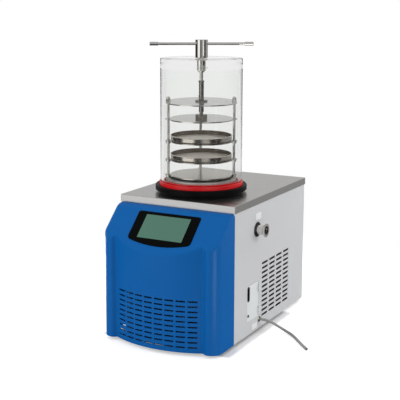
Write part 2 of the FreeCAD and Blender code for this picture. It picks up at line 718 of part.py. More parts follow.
def inlet_module():
    """Moulded appliance inlet with a switch well above it."""
    face = REAR_FACE
    flange = box(INLET_X - INLET_FLANGE[0] / 2, INLET_X + INLET_FLANGE[0] / 2, face,
                 face + 2, INLET_Z - INLET_FLANGE[1] / 2, INLET_Z + INLET_FLANGE[1] / 2)
    half_w = INLET_CUTOUT[0] / 2 - FIT
    half_h = INLET_CUTOUT[1] / 2 - FIT
    body = box(INLET_X - half_w, INLET_X + half_w, face - 26, face,
               INLET_Z - half_h, INLET_Z + half_h)
    well_z = INLET_Z - 9
    well = box(INLET_X - 12, INLET_X + 12, face - 18, face + 3, well_z - 8, well_z + 8)
    corners = upright_edges_y(well, well_z)
    well = well.makeFillet(2.0, corners)
    switch_well = box(INLET_X - ROCKER_SIZE[0] / 2 - 0.4, INLET_X + ROCKER_SIZE[0] / 2 + 0.4,
                      face - 14, face + 3, ROCKER_Z - ROCKER_SIZE[1] / 2 - 0.4,
                      ROCKER_Z + ROCKER_SIZE[1] / 2 + 0.4)
    module = flange.fuse(body).cut(well).cut(switch_well)
    pivot = rod(1.5 + RUNNING, (INLET_X - ROCKER_SIZE[0] / 2 - 2.5, ROCKER_AXIS_Y, ROCKER_Z),
                X_AXIS, ROCKER_SIZE[0] + 5)
    module = module.cut(pivot)
    for x, z in ((-7, -2.0), (0, 2.0), (7, -2.0)):
        blade = box(INLET_X + x - 1, INLET_X + x + 1, face - 18, face - 3,
                    well_z + z - 2.2, well_z + z + 2.2)
        module = module.fuse(blade)
    return module.removeSplitter()


def upright_edges_y(shape, level):
    """Edges along Y on the upper corners of a block."""
    found = []
    for edge in shape.Edges:
        span = edge.BoundBox
        if span.YLength > 5 and span.XLength < 1e-6 and span.ZMin > level:
            found.append(edge)
    return found


def power_rocker():
    """Rocker with two faces and a pivot, resting on its lower side."""
    half_w, half_h = ROCKER_SIZE[0] / 2, ROCKER_SIZE[1] / 2
    lean = math.tan(math.radians(ROCKER_SWING / 2)) * half_h
    points = [
        V(INLET_X - half_w, ROCKER_AXIS_Y - 4, ROCKER_Z - half_h + 1.5),
        V(INLET_X - half_w, ROCKER_AXIS_Y + 5.5 + lean, ROCKER_Z - half_h + 0.8),
        V(INLET_X - half_w, ROCKER_AXIS_Y + 5.0 - lean / 2, ROCKER_Z),
        V(INLET_X - half_w, ROCKER_AXIS_Y + 5.5 + lean, ROCKER_Z + half_h - 0.8),
        V(INLET_X - half_w, ROCKER_AXIS_Y - 4, ROCKER_Z + half_h - 1.5),
    ]
    face = Part.Face(Part.makePolygon(points + points[:1]))
    rocker = face.extrude(V(2 * half_w, 0, 0))
    pins = rod(1.5, (INLET_X - half_w - 2.0, ROCKER_AXIS_Y, ROCKER_Z), X_AXIS,
               2 * half_w + 4.0)
    rocker = rocker.fuse(pins).removeSplitter()
    rocker.rotate(V(INLET_X, ROCKER_AXIS_Y, ROCKER_Z), X_AXIS, ROCKER_SWING / 2)
    return rocker


# --- service door ----------------------------------------------------------------------
DOOR_BACK_Y = DOOR_FRONT_Y + DOOR_LENGTH
DOOR_TOP_Z = DOOR_BOTTOM_Z + DOOR_HEIGHT
HINGE_X = PANEL_FACE + KNUCKLE_RADIUS + 0.1
HINGE_Y = DOOR_BACK_Y + DOOR_GAP / 2
PULL_Y = DOOR_FRONT_Y + PULL_WIDTH / 2 + PULL_INSET
PULL_Z = DOOR_TOP_Z - PULL_HEIGHT / 2 - PULL_INSET
LOCK_Y = DOOR_FRONT_Y + 7.5


def hinge_levels():
    """Middle heights of the two hinges."""
    return (DOOR_BOTTOM_Z + 20.0, DOOR_TOP_Z - 20.0)


def side_door():
    """Flush sheet door with a knuckle on each hinge and holes for the pull and lock."""
    door = box(PANEL_INSIDE, PANEL_FACE, DOOR_FRONT_Y, DOOR_BACK_Y, DOOR_BOTTOM_Z,
               DOOR_TOP_Z)
    door = door.cut(slot(PULL_HEIGHT - 3, PULL_WIDTH - 3, 4, (PANEL_FACE, PULL_Y, PULL_Z),
                         Z_AXIS, X_AXIS))
    door = door.cut(rod(LOCK_RADIUS - 1 + FIT, (PANEL_INSIDE - 1, LOCK_Y, LOCK_HEIGHT),
                        X_AXIS, 5))
    for z in hinge_levels():
        leaf = box(PANEL_FACE, PANEL_FACE + 1.0, DOOR_BACK_Y - 9, HINGE_Y, z - 5.8, z + 5.8)
        knuckle = disc(KNUCKLE_RADIUS, z - KNUCKLE_LENGTH / 2 + 0.2,
                       z + KNUCKLE_LENGTH / 2 - 0.2, HINGE_X, HINGE_Y)
        door = door.fuse(leaf).fuse(knuckle)
        door = door.cut(disc(HINGE_PIN_RADIUS + RUNNING, z - 20, z + 20, HINGE_X, HINGE_Y))
    return door.removeSplitter()


def door_hinges():
    """Panel-side leaves with two knuckles each, and the pins."""
    solids = []
    for z in hinge_levels():
        leaf = box(PANEL_FACE, PANEL_FACE + 1.0, HINGE_Y + KNUCKLE_RADIUS + 0.4,
                   HINGE_Y + 12, z - 12, z + 12)
        for side in (-1, 1):
            z0 = z + side * 9.0 - 3.0
            web = box(PANEL_FACE + 0.3, PANEL_FACE + 1.0, HINGE_Y,
                      HINGE_Y + KNUCKLE_RADIUS + 1, z0, z0 + 6)
            knuckle = disc(KNUCKLE_RADIUS, z0, z0 + 6, HINGE_X, HINGE_Y)
            leaf = leaf.fuse(web).fuse(knuckle)
        leaf = leaf.cut(disc(HINGE_PIN_RADIUS, z - 20, z + 20, HINGE_X, HINGE_Y))
        solids.append(leaf.removeSplitter())
        solids.append(disc(HINGE_PIN_RADIUS, z - 12.5, z + 12.5, HINGE_X, HINGE_Y))
    return group(solids)


def door_pull():
    """Black flush pull pressed into the door."""
    centre = (PANEL_FACE, PULL_Y, PULL_Z)
    lip = slot(PULL_HEIGHT, PULL_WIDTH, 0.6, (PANEL_FACE + 0.6, PULL_Y, PULL_Z), Z_AXIS,
               X_AXIS)
    cup = slot(PULL_HEIGHT - 3, PULL_WIDTH - 3, PULL_DEPTH / 2,
               (PANEL_FACE - PULL_DEPTH / 2, PULL_Y, PULL_Z), Z_AXIS, X_AXIS)
    hollow = slot(PULL_HEIGHT - 6, PULL_WIDTH - 6, PULL_DEPTH - 1.5, centre, Z_AXIS, X_AXIS)
    return lip.fuse(cup).cut(hollow).removeSplitter()


def door_lock():
    """Quarter-turn lock: slotted head outside, cam behind the door, drawn unlocked."""
    head = rod(LOCK_RADIUS, (PANEL_FACE, LOCK_Y, LOCK_HEIGHT), X_AXIS, 1.5)
    shank = rod(LOCK_RADIUS - 1, (PANEL_INSIDE - 4, LOCK_Y, LOCK_HEIGHT), X_AXIS,
                4 + PANEL_SHEET)
    cam = box(PANEL_INSIDE - 2.5, PANEL_INSIDE - 0.8, LOCK_Y - 4, LOCK_Y + 4,
              LOCK_HEIGHT - 4, LOCK_HEIGHT + 14)
    key = box(PANEL_FACE + 0.7, PANEL_FACE + 3, LOCK_Y - 0.6, LOCK_Y + 0.6,
              LOCK_HEIGHT - 3, LOCK_HEIGHT + 3)
    return head.fuse(shank).fuse(cam).cut(key).removeSplitter()


# --- cold trap -------------------------------------------------------------------------
def revolved_cup(radius, wall, floor, rim, corner, flange=0.0):
    """Cup of even wall with a rounded bottom corner and an optional flat flange."""
    def arc_edge(r, z, size):
        first = V(r - size, 0, z)
        middle = V(r - size * (1 - math.sqrt(0.5)), 0, z + size * (1 - math.sqrt(0.5)))
        return first, middle, V(r, 0, z + size)
    out_first, out_mid, out_last = arc_edge(radius + wall, floor, corner + wall)
    in_first, in_mid, in_last = arc_edge(radius, floor + wall, corner)
    edges = [
        Part.LineSegment(V(0, 0, floor), out_first).toShape(),
        Part.Arc(out_first, out_mid, out_last).toShape(),
    ]
    path = [out_last]
    if flange:
        path += [V(radius + wall, 0, rim), V(radius + flange, 0, rim),
                 V(radius + flange, 0, rim + wall), V(radius, 0, rim + wall)]
    else:
        path += [V(radius + wall, 0, rim), V(radius, 0, rim)]
    path.append(in_last)
    for start, end in zip(path, path[1:]):
        edges.append(Part.LineSegment(start, end).toShape())
    edges.append(Part.Arc(in_last, in_mid, in_first).toShape())
    edges.append(Part.LineSegment(in_first, V(0, 0, floor + wall)).toShape())
    edges.append(Part.LineSegment(V(0, 0, floor + wall), V(0, 0, floor)).toShape())
    return Part.Face(Part.Wire(edges)).revolve(V(0, 0, 0), Z_AXIS, 360)


def trap_pot():
    """Stainless ice trap with a side outlet and a drain hole."""
    pot = revolved_cup(POT_RADIUS, POT_WALL, POT_FLOOR, CABINET_TOP, POT_CORNER, POT_FLANGE)
    outlet = rod(PORT_TUBE_RADIUS, (POT_RADIUS / 2, 0, PORT_HEIGHT), X_AXIS, POT_RADIUS)
    drain = disc(DRAIN_PIPE_RADIUS - 1, POT_FLOOR - 1, POT_FLOOR + 3, 0, DRAIN_Y)
    return pot.cut(outlet).cut(drain)


COIL_RADIUS = POT_RADIUS + POT_WALL + FIT + COIL_TUBE
COIL_LOW_Z = POT_FLOOR + POT_CORNER + 4.0
COIL_TOP_Z = CABINET_TOP - 14.0


def coil_levels():
    """Heights of the evaporator's turns, leaving the side outlet free."""
    clear = PORT_TUBE_RADIUS + COIL_TUBE + 1
    low_turns = 1 + math.floor((PORT_HEIGHT - clear - COIL_LOW_Z) / COIL_PITCH)
    high_turns = 1 + math.floor((COIL_TOP_Z - PORT_HEIGHT - clear) / COIL_PITCH)
    low = [COIL_LOW_Z + k * COIL_PITCH for k in range(low_turns)]
    high = [COIL_TOP_Z - k * COIL_PITCH for k in range(high_turns)]
    return low + high[::-1]


def evaporator_coil():
    """Copper turns brazed together by crossovers on the side away from the outlet."""
    levels = coil_levels()
    coil = None
    for z in levels:
        turn = Part.makeTorus(COIL_RADIUS, COIL_TUBE, V(0, 0, z), Z_AXIS)
        coil = turn if coil is None else coil.fuse(turn)
    for number, (z0, z1) in enumerate(zip(levels, levels[1:])):
        angle = math.radians(176 + 4 * (number % 3))
        coil = coil.fuse(disc(COIL_TUBE * 0.9, z0, z1, COIL_RADIUS * math.cos(angle),
                              COIL_RADIUS * math.sin(angle)))
    return coil


FOAM_INNER = COIL_RADIUS + COIL_TUBE + 2 * FIT
SUCTION_X = -COIL_RADIUS * 0.66
SUCTION_Y = math.sqrt(COIL_RADIUS ** 2 - SUCTION_X ** 2)


def trap_insulation():
    """Foam shell round the coil and under the pot."""
    foam = turned([(0, FOAM_BOTTOM), (FOAM_RADIUS, FOAM_BOTTOM),
                   (FOAM_RADIUS, COVER_UNDERSIDE - SEAM), (FOAM_INNER, COVER_UNDERSIDE - SEAM),
                   (FOAM_INNER, POT_FLOOR), (0, POT_FLOOR)])
    holes = [
        rod(PORT_TUBE_RADIUS + FIT, (0, 0, PORT_HEIGHT), X_AXIS, FOAM_RADIUS + 5),
        disc(DRAIN_PIPE_RADIUS + FIT, FOAM_BOTTOM - 1, POT_FLOOR + 1, 0, DRAIN_Y),
        disc(PIPE_RADIUS + FIT, FOAM_BOTTOM - 1, coil_levels()[0] + 2, -COIL_RADIUS, 0),
        rod(SUCTION_RADIUS + FIT, (SUCTION_X, SUCTION_Y, COIL_TOP_Z), Y_AXIS, FOAM_RADIUS),
    ]
    return foam.cut(group(holes))


def trap_flange():
    """Black stepped flange that covers the pot's rim and carries the chamber."""
    bore = POT_RADIUS + 0.3
    step = CABINET_TOP + FLANGE_STEP
    rim_gap = CABINET_TOP + POT_WALL
    seat = POT_RADIUS + POT_FLANGE + 0.3
    return turned([(bore, rim_gap), (seat, rim_gap), (seat, CABINET_TOP),
                   (FLANGE_STEP_RADIUS, CABINET_TOP), (FLANGE_STEP_RADIUS, step),
                   (FLANGE_RADIUS - 1, step), (FLANGE_RADIUS, step + 1),
                   (FLANGE_RADIUS, FLANGE_TOP - 2), (FLANGE_RADIUS - 2, FLANGE_TOP),
                   (bore, FLANGE_TOP)])


def seal_ring():
    """Red silicone channel ring: a base under the chamber wall, a skirt outside it, a lip inside."""
    wall_inner = CHAMBER_RADIUS - CHAMBER_WALL
    lip = wall_inner - 0.3
    top = CHAMBER_FOOT + SEAL_LIP
    thickness, height = SEAL_SKIRT
    skirt = CHAMBER_RADIUS + FIT
    brim = CHAMBER_FOOT + height
    return turned([(SEAL_INNER, FLANGE_TOP), (skirt + thickness, FLANGE_TOP),
                   (skirt + thickness, brim - 1), (skirt + thickness - 1, brim),
                   (skirt, brim), (skirt, CHAMBER_FOOT), (lip, CHAMBER_FOOT),
                   (lip, top - 1), (lip - 1, top), (SEAL_INNER + 2, top),
                   (SEAL_INNER, top - 2)])


# --- clear chamber ---------------------------------------------------------------------
def chamber_cylinder():
    """Thick clear tube."""
    return ring(CHAMBER_RADIUS, CHAMBER_RADIUS - CHAMBER_WALL, CHAMBER_FOOT, LID_UNDERSIDE)


def chamber_lid():
    """Thick clear disc bonded to the tube, bored for the gland."""
    lid = disc(CHAMBER_RADIUS, LID_UNDERSIDE, LID_TOP)
    lid = lid.makeChamfer(LID_CHAMFER, level_edges(lid, LID_TOP))
    bore = disc(GLAND_BARREL + FIT, LID_UNDERSIDE - 1, LID_TOP + 1)
    seat = disc(GLAND_FLANGE[0] + FIT, LID_TOP - GLAND_FLANGE[1], LID_TOP + 1)
    return lid.cut(bore).cut(seat)


GLAND_SHOULDER = LID_TOP - GLAND_FLANGE[1]
GLAND_END = LID_UNDERSIDE - GLAND_NUT_HEIGHT - 4.5
O_RING_LEVELS = (GLAND_SHOULDER - 5.0, GLAND_SHOULDER - 15.0)
O_RING_SECTION = 1.0


def gland_body():
    """Stainless gland through the lid, with two O-ring grooves round the rod."""
    tail = LID_UNDERSIDE - GLAND_NUT_HEIGHT - 0.5
    body = turned([(0, GLAND_END), (GLAND_TAIL, GLAND_END), (GLAND_TAIL, tail),
                   (GLAND_BARREL, tail), (GLAND_BARREL, GLAND_SHOULDER),
                   (GLAND_FLANGE[0], GLAND_SHOULDER), (GLAND_FLANGE[0], LID_TOP - 0.5),
                   (GLAND_FLANGE[0] - 0.5, LID_TOP), (0, LID_TOP)])
    body = body.cut(disc(ROD_RADIUS + RUNNING, GLAND_END - 1, LID_TOP + 1))
    groove = ROD_RADIUS + 0.1 + 2 * O_RING_SECTION + 0.1
    for z in O_RING_LEVELS:
        body = body.cut(ring(groove, ROD_RADIUS, z - 1.3, z + 1.3))
    return body


def gland_nut():
    """Hexagonal nut that clamps the gland under the lid."""
    nut = hexagon(GLAND_NUT_FLATS, LID_UNDERSIDE - GLAND_NUT_HEIGHT, LID_UNDERSIDE)
    return nut.cut(disc(GLAND_BARREL, LID_UNDERSIDE - 20, LID_UNDERSIDE + 1))


def gland_o_rings():
    """Two O-rings on the rod."""
    radius = ROD_RADIUS + 0.1 + O_RING_SECTION
    return group([Part.makeTorus(radius, O_RING_SECTION, V(0, 0, z), Z_AXIS)
                  for z in O_RING_LEVELS])


# --- press spindle ---------------------------------------------------------------------
ROD_SOCKET = 18.0
HUB_SOCKET = 28.0
GRIP_SOCKET = 20.0


def handle_hub():
    """Round hub with a cross hole for the bar and a socket for the rod."""
    hub = disc(HUB_RADIUS, HUB_BOTTOM, HUB_TOP)
    rims = level_edges(hub, HUB_BOTTOM) + level_edges(hub, HUB_TOP)
    hub = hub.makeChamfer(1.0, rims)
    hub = hub.cut(disc(ROD_RADIUS, HUB_BOTTOM - 1, HUB_BOTTOM + HUB_SOCKET))
    cross = rod(BAR_RADIUS, (-HUB_RADIUS - 5, 0, BAR_HEIGHT), X_AXIS, 2 * HUB_RADIUS + 10)
    return yawed(hub.cut(cross))


def t_bar():
    """Straight bar through the hub."""
    length = BAR_LENGTH - 2 * (GRIP_LENGTH - GRIP_SOCKET)
    return yawed(rod(BAR_RADIUS, (-length / 2, 0, BAR_HEIGHT), X_AXIS, length))


def bar_grips():
    """Turned end pieces on the bar."""
    grips = []
    for side in (-1, 1):
        start = (side * (BAR_LENGTH / 2 - GRIP_LENGTH), 0, BAR_HEIGHT)
        axis = V(side, 0, 0)
        grip = rod(GRIP_RADIUS, start, axis, GRIP_LENGTH)
        ends = [e for e in grip.Edges if e.Curve.TypeId == "Part::GeomCircle"]
        grip = grip.makeFillet(0.8, ends)
        grips.append(grip.cut(rod(BAR_RADIUS, start, axis, GRIP_SOCKET)))
    return yawed(group(grips))


def spindle_rod():
    """Polished rod from the hub through the gland into the lead screw."""
    return disc(ROD_RADIUS, SCREW_TOP - ROD_SOCKET, HUB_BOTTOM + HUB_SOCKET)


BUTTON_RADIUS = 7.5
BUTTON_HEIGHT = 5.0
SWIVEL_TOP = PRESS_TOP + SWIVEL_HEIGHT
BUTTON_TOP = SWIVEL_TOP - 2.4


def lead_screw():
    """Lead screw with a rod socket above and a thrust button below."""
    screw = disc(SCREW_RADIUS, SCREW_BOTTOM, SCREW_TOP)
    screw = screw.makeChamfer(1.2, level_edges(screw, SCREW_TOP)
                              + level_edges(screw, SCREW_BOTTOM))
    neck = disc(ROD_RADIUS, BUTTON_TOP - 1, SCREW_BOTTOM + 1)
    button = disc(BUTTON_RADIUS, BUTTON_TOP - BUTTON_HEIGHT, BUTTON_TOP)
    screw = screw.fuse(neck).fuse(button)
    return screw.cut(disc(ROD_RADIUS, SCREW_TOP - ROD_SOCKET, SCREW_TOP + 1)).removeSplitter()


def swivel_hub():
    """Thrust housing on the press plate that traps the screw's button."""
    hub = disc(SWIVEL_RADIUS, PRESS_TOP, SWIVEL_TOP)
    hub = hub.makeChamfer(0.8, level_edges(hub, SWIVEL_TOP))
    neck = disc(ROD_RADIUS + FIT, BUTTON_TOP - 1, SWIVEL_TOP + 1)
    cavity = disc(BUTTON_RADIUS + FIT, BUTTON_TOP - BUTTON_HEIGHT - FIT, BUTTON_TOP + FIT)
    return hub.cut(neck).cut(cavity)


NUT_BARREL = 13.0
NUT_FLANGE = (18.0, 4.0)


def rack_nut():
    """Flanged nut set in the top plate."""
    top = TOP_PLATE_TOP + NUT_FLANGE[1]
    nut = turned([(0, TOP_PLATE_TOP - PLATE), (NUT_BARREL, TOP_PLATE_TOP - PLATE),
                  (NUT_BARREL, TOP_PLATE_TOP), (NUT_FLANGE[0], TOP_PLATE_TOP),
                  (NUT_FLANGE[0], top - 0.6), (NUT_FLANGE[0] - 0.6, top), (0, top)])
    return nut.cut(disc(SCREW_RADIUS + RUNNING, TOP_PLATE_TOP - 10, top + 1))


# --- rack ------------------------------------------------------------------------------
def eared_plate(radius, top, bore):
    """Round plate with an ear and a hole at each post."""
    plate = disc(radius, top - PLATE, top)
    for x, y in post_places():
        plate = plate.fuse(disc(EAR_RADIUS, top - PLATE, top, x, y))
    for x, y in post_places():
        plate = plate.cut(disc(bore, top - PLATE - 1, top + 1, x, y))
    return yawed(plate.removeSplitter())


def rack_top_plate():
    """Fixed upper plate with the seat of the nut."""
    plate = disc(POST_CIRCLE + TOP_PLATE_MARGIN, TOP_PLATE_TOP - PLATE, TOP_PLATE_TOP)
    plate = plate.makeChamfer(0.4, level_edges(plate, TOP_PLATE_TOP))
    plate = plate.cut(disc(NUT_BARREL, TOP_PLATE_TOP - 10, TOP_PLATE_TOP + 1))
    for x, y in post_places():
        plate = plate.cut(disc(STUD_RADIUS, TOP_PLATE_TOP - 10, TOP_PLATE_TOP + 1, x, y))
    return yawed(plate)


STUD_RADIUS = 3.0


def press_plate():
    """Sliding plate that pushes the stoppers home."""
    return eared_plate(TRAY_RADIUS + PRESS_PLATE_MARGIN, PRESS_TOP, POST_RADIUS + SLIDING)


def shelves():
    """Three fixed shelves."""
    return group([eared_plate(TRAY_RADIUS + SHELF_MARGIN, FLANGE_TOP + height, POST_RADIUS)
                  for height in SHELF_HEIGHTS])


def trays():
    """Two round trays on the upper shelves."""
    solids = []
    for height in SHELF_HEIGHTS[1:]:
        foot = FLANGE_TOP + height
        rim = foot + TRAY_HEIGHT
        dish = revolved_cup(TRAY_RADIUS - TRAY_WALL, TRAY_WALL, foot, rim, 4.0)
        bead = Part.makeTorus(TRAY_RADIUS - TRAY_WALL / 2, TRAY_BEAD, V(0, 0, rim), Z_AXIS)
        solids.append(dish.fuse(bead).removeSplitter())
    return group(solids)


def rack_posts():
    """Three posts from the foot ring to the cap nuts."""
    posts = []
    shoulder = TOP_PLATE_TOP - PLATE
    for x, y in post_places():
        post = disc(POST_RADIUS, FLANGE_TOP + 3, shoulder, x, y)
        stud = disc(STUD_RADIUS, shoulder, TOP_PLATE_TOP + CAP_NUT_HEIGHT * 0.6, x, y)
        posts.append(post.fuse(stud).removeSplitter())
    return yawed(group(posts))


def post_cap_nuts():
    """Dome nuts on top of the posts."""
    nuts = []
    for x, y in post_places():
        hex_top = TOP_PLATE_TOP + CAP_NUT_HEIGHT * 0.45
        dome_top = TOP_PLATE_TOP + CAP_NUT_HEIGHT
        nut = hexagon(CAP_NUT_FLATS, TOP_PLATE_TOP, hex_top, x, y)
        radius = CAP_NUT_FLATS / 2
        dome = disc(radius, hex_top, dome_top, x, y)
        dome = dome.makeFillet(radius * 0.7, level_edges(dome, dome_top))
        nut = nut.fuse(dome)
        nuts.append(nut.cut(disc(STUD_RADIUS, TOP_PLATE_TOP - 1,
                                 TOP_PLATE_TOP + CAP_NUT_HEIGHT * 0.6, x, y)))
    return yawed(group(nuts))


def post_collars():
    """Stop collars under every shelf."""
    collars = []
    for height in SHELF_HEIGHTS:
        top = FLANGE_TOP + height - PLATE
        for x, y in post_places():
            collars.append(ring(COLLAR_RADIUS, POST_RADIUS, top - COLLAR_HEIGHT, top, x, y))
    return yawed(group(collars))


def rack_foot_ring():
    """Ring on which the rack stands, with a blind hole for each post."""
    outer = POST_CIRCLE + FOOT_RING_WIDTH / 2
    foot = ring(outer, outer - FOOT_RING_WIDTH, FLANGE_TOP, FLANGE_TOP + FOOT_RING_HEIGHT)
    for x, y in post_places():
        foot = foot.cut(disc(POST_RADIUS, FLANGE_TOP + 3, FLANGE_TOP + 20, x, y))
    return yawed(foot)


# --- vacuum port -----------------------------------------------------------------------
def vacuum_port():
    """Clamp-flanged stub welded into the pot."""
    bore_step = PORT_BORE + 0.5
    taper = PORT_FACE - PORT_FLANGE_RIM - PORT_FLANGE_TAPER
    profile = [(PORT_BORE, POT_RADIUS * 0.5), (PORT_TUBE_RADIUS, POT_RADIUS * 0.5),
               (PORT_TUBE_RADIUS, taper), (PORT_TUBE_RADIUS + 1.5, taper),
               (PORT_FLANGE_RADIUS, PORT_FACE - PORT_FLANGE_RIM),
               (PORT_FLANGE_RADIUS, PORT_FACE), (bore_step, PORT_FACE),
               (bore_step, PORT_FACE - PORT_RECESS), (PORT_BORE, PORT_FACE - PORT_RECESS)]
    stub = turned(profile, X_AXIS, V(0, 0, PORT_HEIGHT))
    return stub.cut(disc(POT_RADIUS, POT_FLOOR, CABINET_TOP))


def port_grommet():
    """Black rubber grommet between the stub and the side panel."""
    bore = PORT_TUBE_RADIUS + FIT
    lip = GROMMET_HOLE + GROMMET_LIP
    inside = PANEL_INSIDE - GROMMET_LIP_THICKNESS
    outside = PANEL_FACE + GROMMET_LIP_THICKNESS
    profile = [(bore, inside), (lip, inside), (lip, PANEL_INSIDE),
               (GROMMET_HOLE, PANEL_INSIDE), (GROMMET_HOLE, PANEL_FACE),
               (lip, PANEL_FACE), (lip - 0.6, outside), (bore, outside)]
    return turned(profile, X_AXIS, V(0, 0, PORT_HEIGHT))


# --- drain -----------------------------------------------------------------------------
OUTLET_FACE = PANEL_FACE + OUTLET_REACH
OUTLET_START = PANEL_FACE - 30.0
VALVE_START = OUTLET_START - VALVE_LENGTH
VALVE_MIDDLE = (VALVE_START + OUTLET_START) / 2
LEVER_Z = DRAIN_Z + VALVE_RADIUS + 7.0


def drain_pipe():
    """Drain pipe from the pot down and across to the valve."""
    points = [(0, DRAIN_Y, POT_FLOOR), (0, DRAIN_Y, DRAIN_Z),
              (VALVE_START + 8, DRAIN_Y, DRAIN_Z)]
    return pipe(points, DRAIN_PIPE_RADIUS, 1.0, DRAIN_BEND)


def drain_valve():
    """Ball valve body with hexagonal ends and a stem boss."""
    body = rod(VALVE_RADIUS, (VALVE_START + 9, DRAIN_Y, DRAIN_Z), X_AXIS, VALVE_LENGTH - 18)
    ends = rod(VALVE_RADIUS - 1.5, (VALVE_START, DRAIN_Y, DRAIN_Z), X_AXIS, VALVE_LENGTH)
    boss = disc(6, DRAIN_Z, LEVER_Z - 1.5, VALVE_MIDDLE, DRAIN_Y)
    body = body.fuse(ends).fuse(boss)
    bore = rod(DRAIN_PIPE_RADIUS - 1, (VALVE_START - 1, DRAIN_Y, DRAIN_Z), X_AXIS,
               VALVE_LENGTH + 2)
    socket_in = rod(DRAIN_PIPE_RADIUS, (VALVE_START - 1, DRAIN_Y, DRAIN_Z), X_AXIS, 9)
    socket_out = rod(DRAIN_PIPE_RADIUS, (OUTLET_START - 8, DRAIN_Y, DRAIN_Z), X_AXIS, 9)
    stem = disc(3 + RUNNING, DRAIN_Z + DRAIN_PIPE_RADIUS, LEVER_Z, VALVE_MIDDLE, DRAIN_Y)
    body = body.cut(bore).cut(socket_in).cut(socket_out).cut(stem)
    return body.removeSplitter()


def drain_lever():
    """Valve stem with a flat lever, drawn closed: across the pipe, towards the door."""
    stem = disc(3, DRAIN_Z + DRAIN_PIPE_RADIUS + 0.5, LEVER_Z, VALVE_MIDDLE, DRAIN_Y)
    arm = box(VALVE_MIDDLE - 5, VALVE_MIDDLE + 5, DRAIN_Y - LEVER_LENGTH, DRAIN_Y + 6,
              LEVER_Z - 1.2, LEVER_Z + 1.2)
    arm = arm.makeFillet(4.0, upright_edges(arm, lambda p: True))
    return stem.fuse(arm).removeSplitter()


def drain_outlet():
    """Outlet nozzle from the valve through the side panel."""
    start = OUTLET_START - 8
    barrel = rod(DRAIN_PIPE_RADIUS, (start, DRAIN_Y, DRAIN_Z), X_AXIS, OUTLET_FACE - start)
    collar = rod(DRAIN_PIPE_RADIUS + 3, (PANEL_FACE, DRAIN_Y, DRAIN_Z), X_AXIS, OUTLET_REACH)
    collar = collar.makeChamfer(0.8, [e for e in collar.Edges
                                      if e.CenterOfMass.x > OUTLET_FACE - 0.01])
    bore = rod(TUBE_RADIUS - 1, (start - 1, DRAIN_Y, DRAIN_Z), X_AXIS, OUTLET_FACE)
    return barrel.fuse(collar).cut(bore).removeSplitter()


def drain_tube():
    """Free clear tube from the outlet to its cut end on the floor."""
    shift = OUTLET_FACE - TUBE_ROUTE[0][0]
    points = [(x + shift, y, z) for x, y, z in TUBE_ROUTE]
    path, radii = bent_path(points, lambda run_in, run_out, turn:
                            0.45 * min(run_in, run_out) / math.tan(turn / 2))
    print("drain tube radii", [round(r, 1) for r in radii], "length",
          round(path.Length, 1))
    tube = swept(path, TUBE_RADIUS)
    ideal = math.pi * TUBE_RADIUS ** 2 * path.Length
    print("drain tube volume over section times length", round(tube.Volume / ideal, 4))
    return tube


# --- cooling side ----------------------------------------------------------------------
CONDENSER_Y0 = PILLAR_Y + CONDENSER_FRONT_GAP
CONDENSER_Y1 = CONDENSER_Y0 + CONDENSER[1]
CONDENSER_Z0 = PAN_TOP
CONDENSER_Z1 = CONDENSER_Z0 + CONDENSER[2]
FAN_Z = CONDENSER_Z0 + CONDENSER[2] / 2
FIN_PITCH = 8.0
FIN_GROOVE = 13.0


def condenser_coil():
    """Finned condenser block with end plates and return bends."""
    half = CONDENSER[0] / 2
    block = box(-half, half, CONDENSER_Y0, CONDENSER_Y1, CONDENSER_Z0, CONDENSER_Z1)
    cutters = []
    count = int((CONDENSER[0] - 16) / FIN_PITCH)
    for number in range(count):
        x = (number - (count - 1) / 2) * FIN_PITCH
        for y in (CONDENSER_Y0, CONDENSER_Y1):
            cutters.append(box(x - 2.8, x + 2.8, y - FIN_GROOVE, y + FIN_GROOVE,
                               CONDENSER_Z0 + 6, CONDENSER_Z1 - 6))
    return block.cut(group(cutters))


SHROUD_DEPTH = 16.0
SHROUD_SHEET = 1.5
DUCT_DEPTH = 26.0
DUCT_GAP = 5.0


def along_y(radius, y0, y1, x=0.0, z=FAN_Z):
    """Cylinder along Y on the fan axis."""
    return rod(radius, (x, y0, z), Y_AXIS, y1 - y0)


def fan_shroud():
    """Sheet hood behind the condenser with a round duct."""
    half = CONDENSER[0] / 2
    y0, y1 = CONDENSER_Y1, CONDENSER_Y1 + SHROUD_DEPTH
    duct = FAN_RADIUS + DUCT_GAP
    hood = box(-half, half, y0, y1, CONDENSER_Z0, CONDENSER_Z1)
    hollow = box(-half + SHROUD_SHEET, half - SHROUD_SHEET, y0 - 1, y1 - SHROUD_SHEET,
                 CONDENSER_Z0 + SHROUD_SHEET, CONDENSER_Z1 - SHROUD_SHEET)
    sleeve = along_y(duct + SHROUD_SHEET, y1 - SHROUD_SHEET, y1 + DUCT_DEPTH)
    return hood.cut(hollow).fuse(sleeve).cut(along_y(duct, y0, y1 + DUCT_DEPTH + 1))


FAN_Y0 = CONDENSER_Y1 + SHROUD_DEPTH + 2.0
FAN_Y1 = FAN_Y0 + 20.0
BRACKET_Y = CONDENSER_Y1 + SHROUD_DEPTH + DUCT_DEPTH
MOTOR_RADIUS = 30.0
MOTOR_LENGTH = 46.0
SHAFT_RADIUS = 3.0


def fan_motor():
    """Fan motor with three flat arms that sit on the end of the duct."""
    motor = along_y(MOTOR_RADIUS, BRACKET_Y, BRACKET_Y + MOTOR_LENGTH)
    reach = FAN_RADIUS + DUCT_GAP + SHROUD_SHEET
    for angle in (90, 210, 330):
        arm = box(MOTOR_RADIUS - 4, reach, BRACKET_Y, BRACKET_Y + 3, FAN_Z - 6, FAN_Z + 6)
        arm.rotate(V(0, 0, FAN_Z), Y_AXIS, angle)
        motor = motor.fuse(arm)
    bore = along_y(SHAFT_RADIUS + RUNNING, BRACKET_Y - 1, BRACKET_Y + 32)
    return motor.cut(bore).removeSplitter()


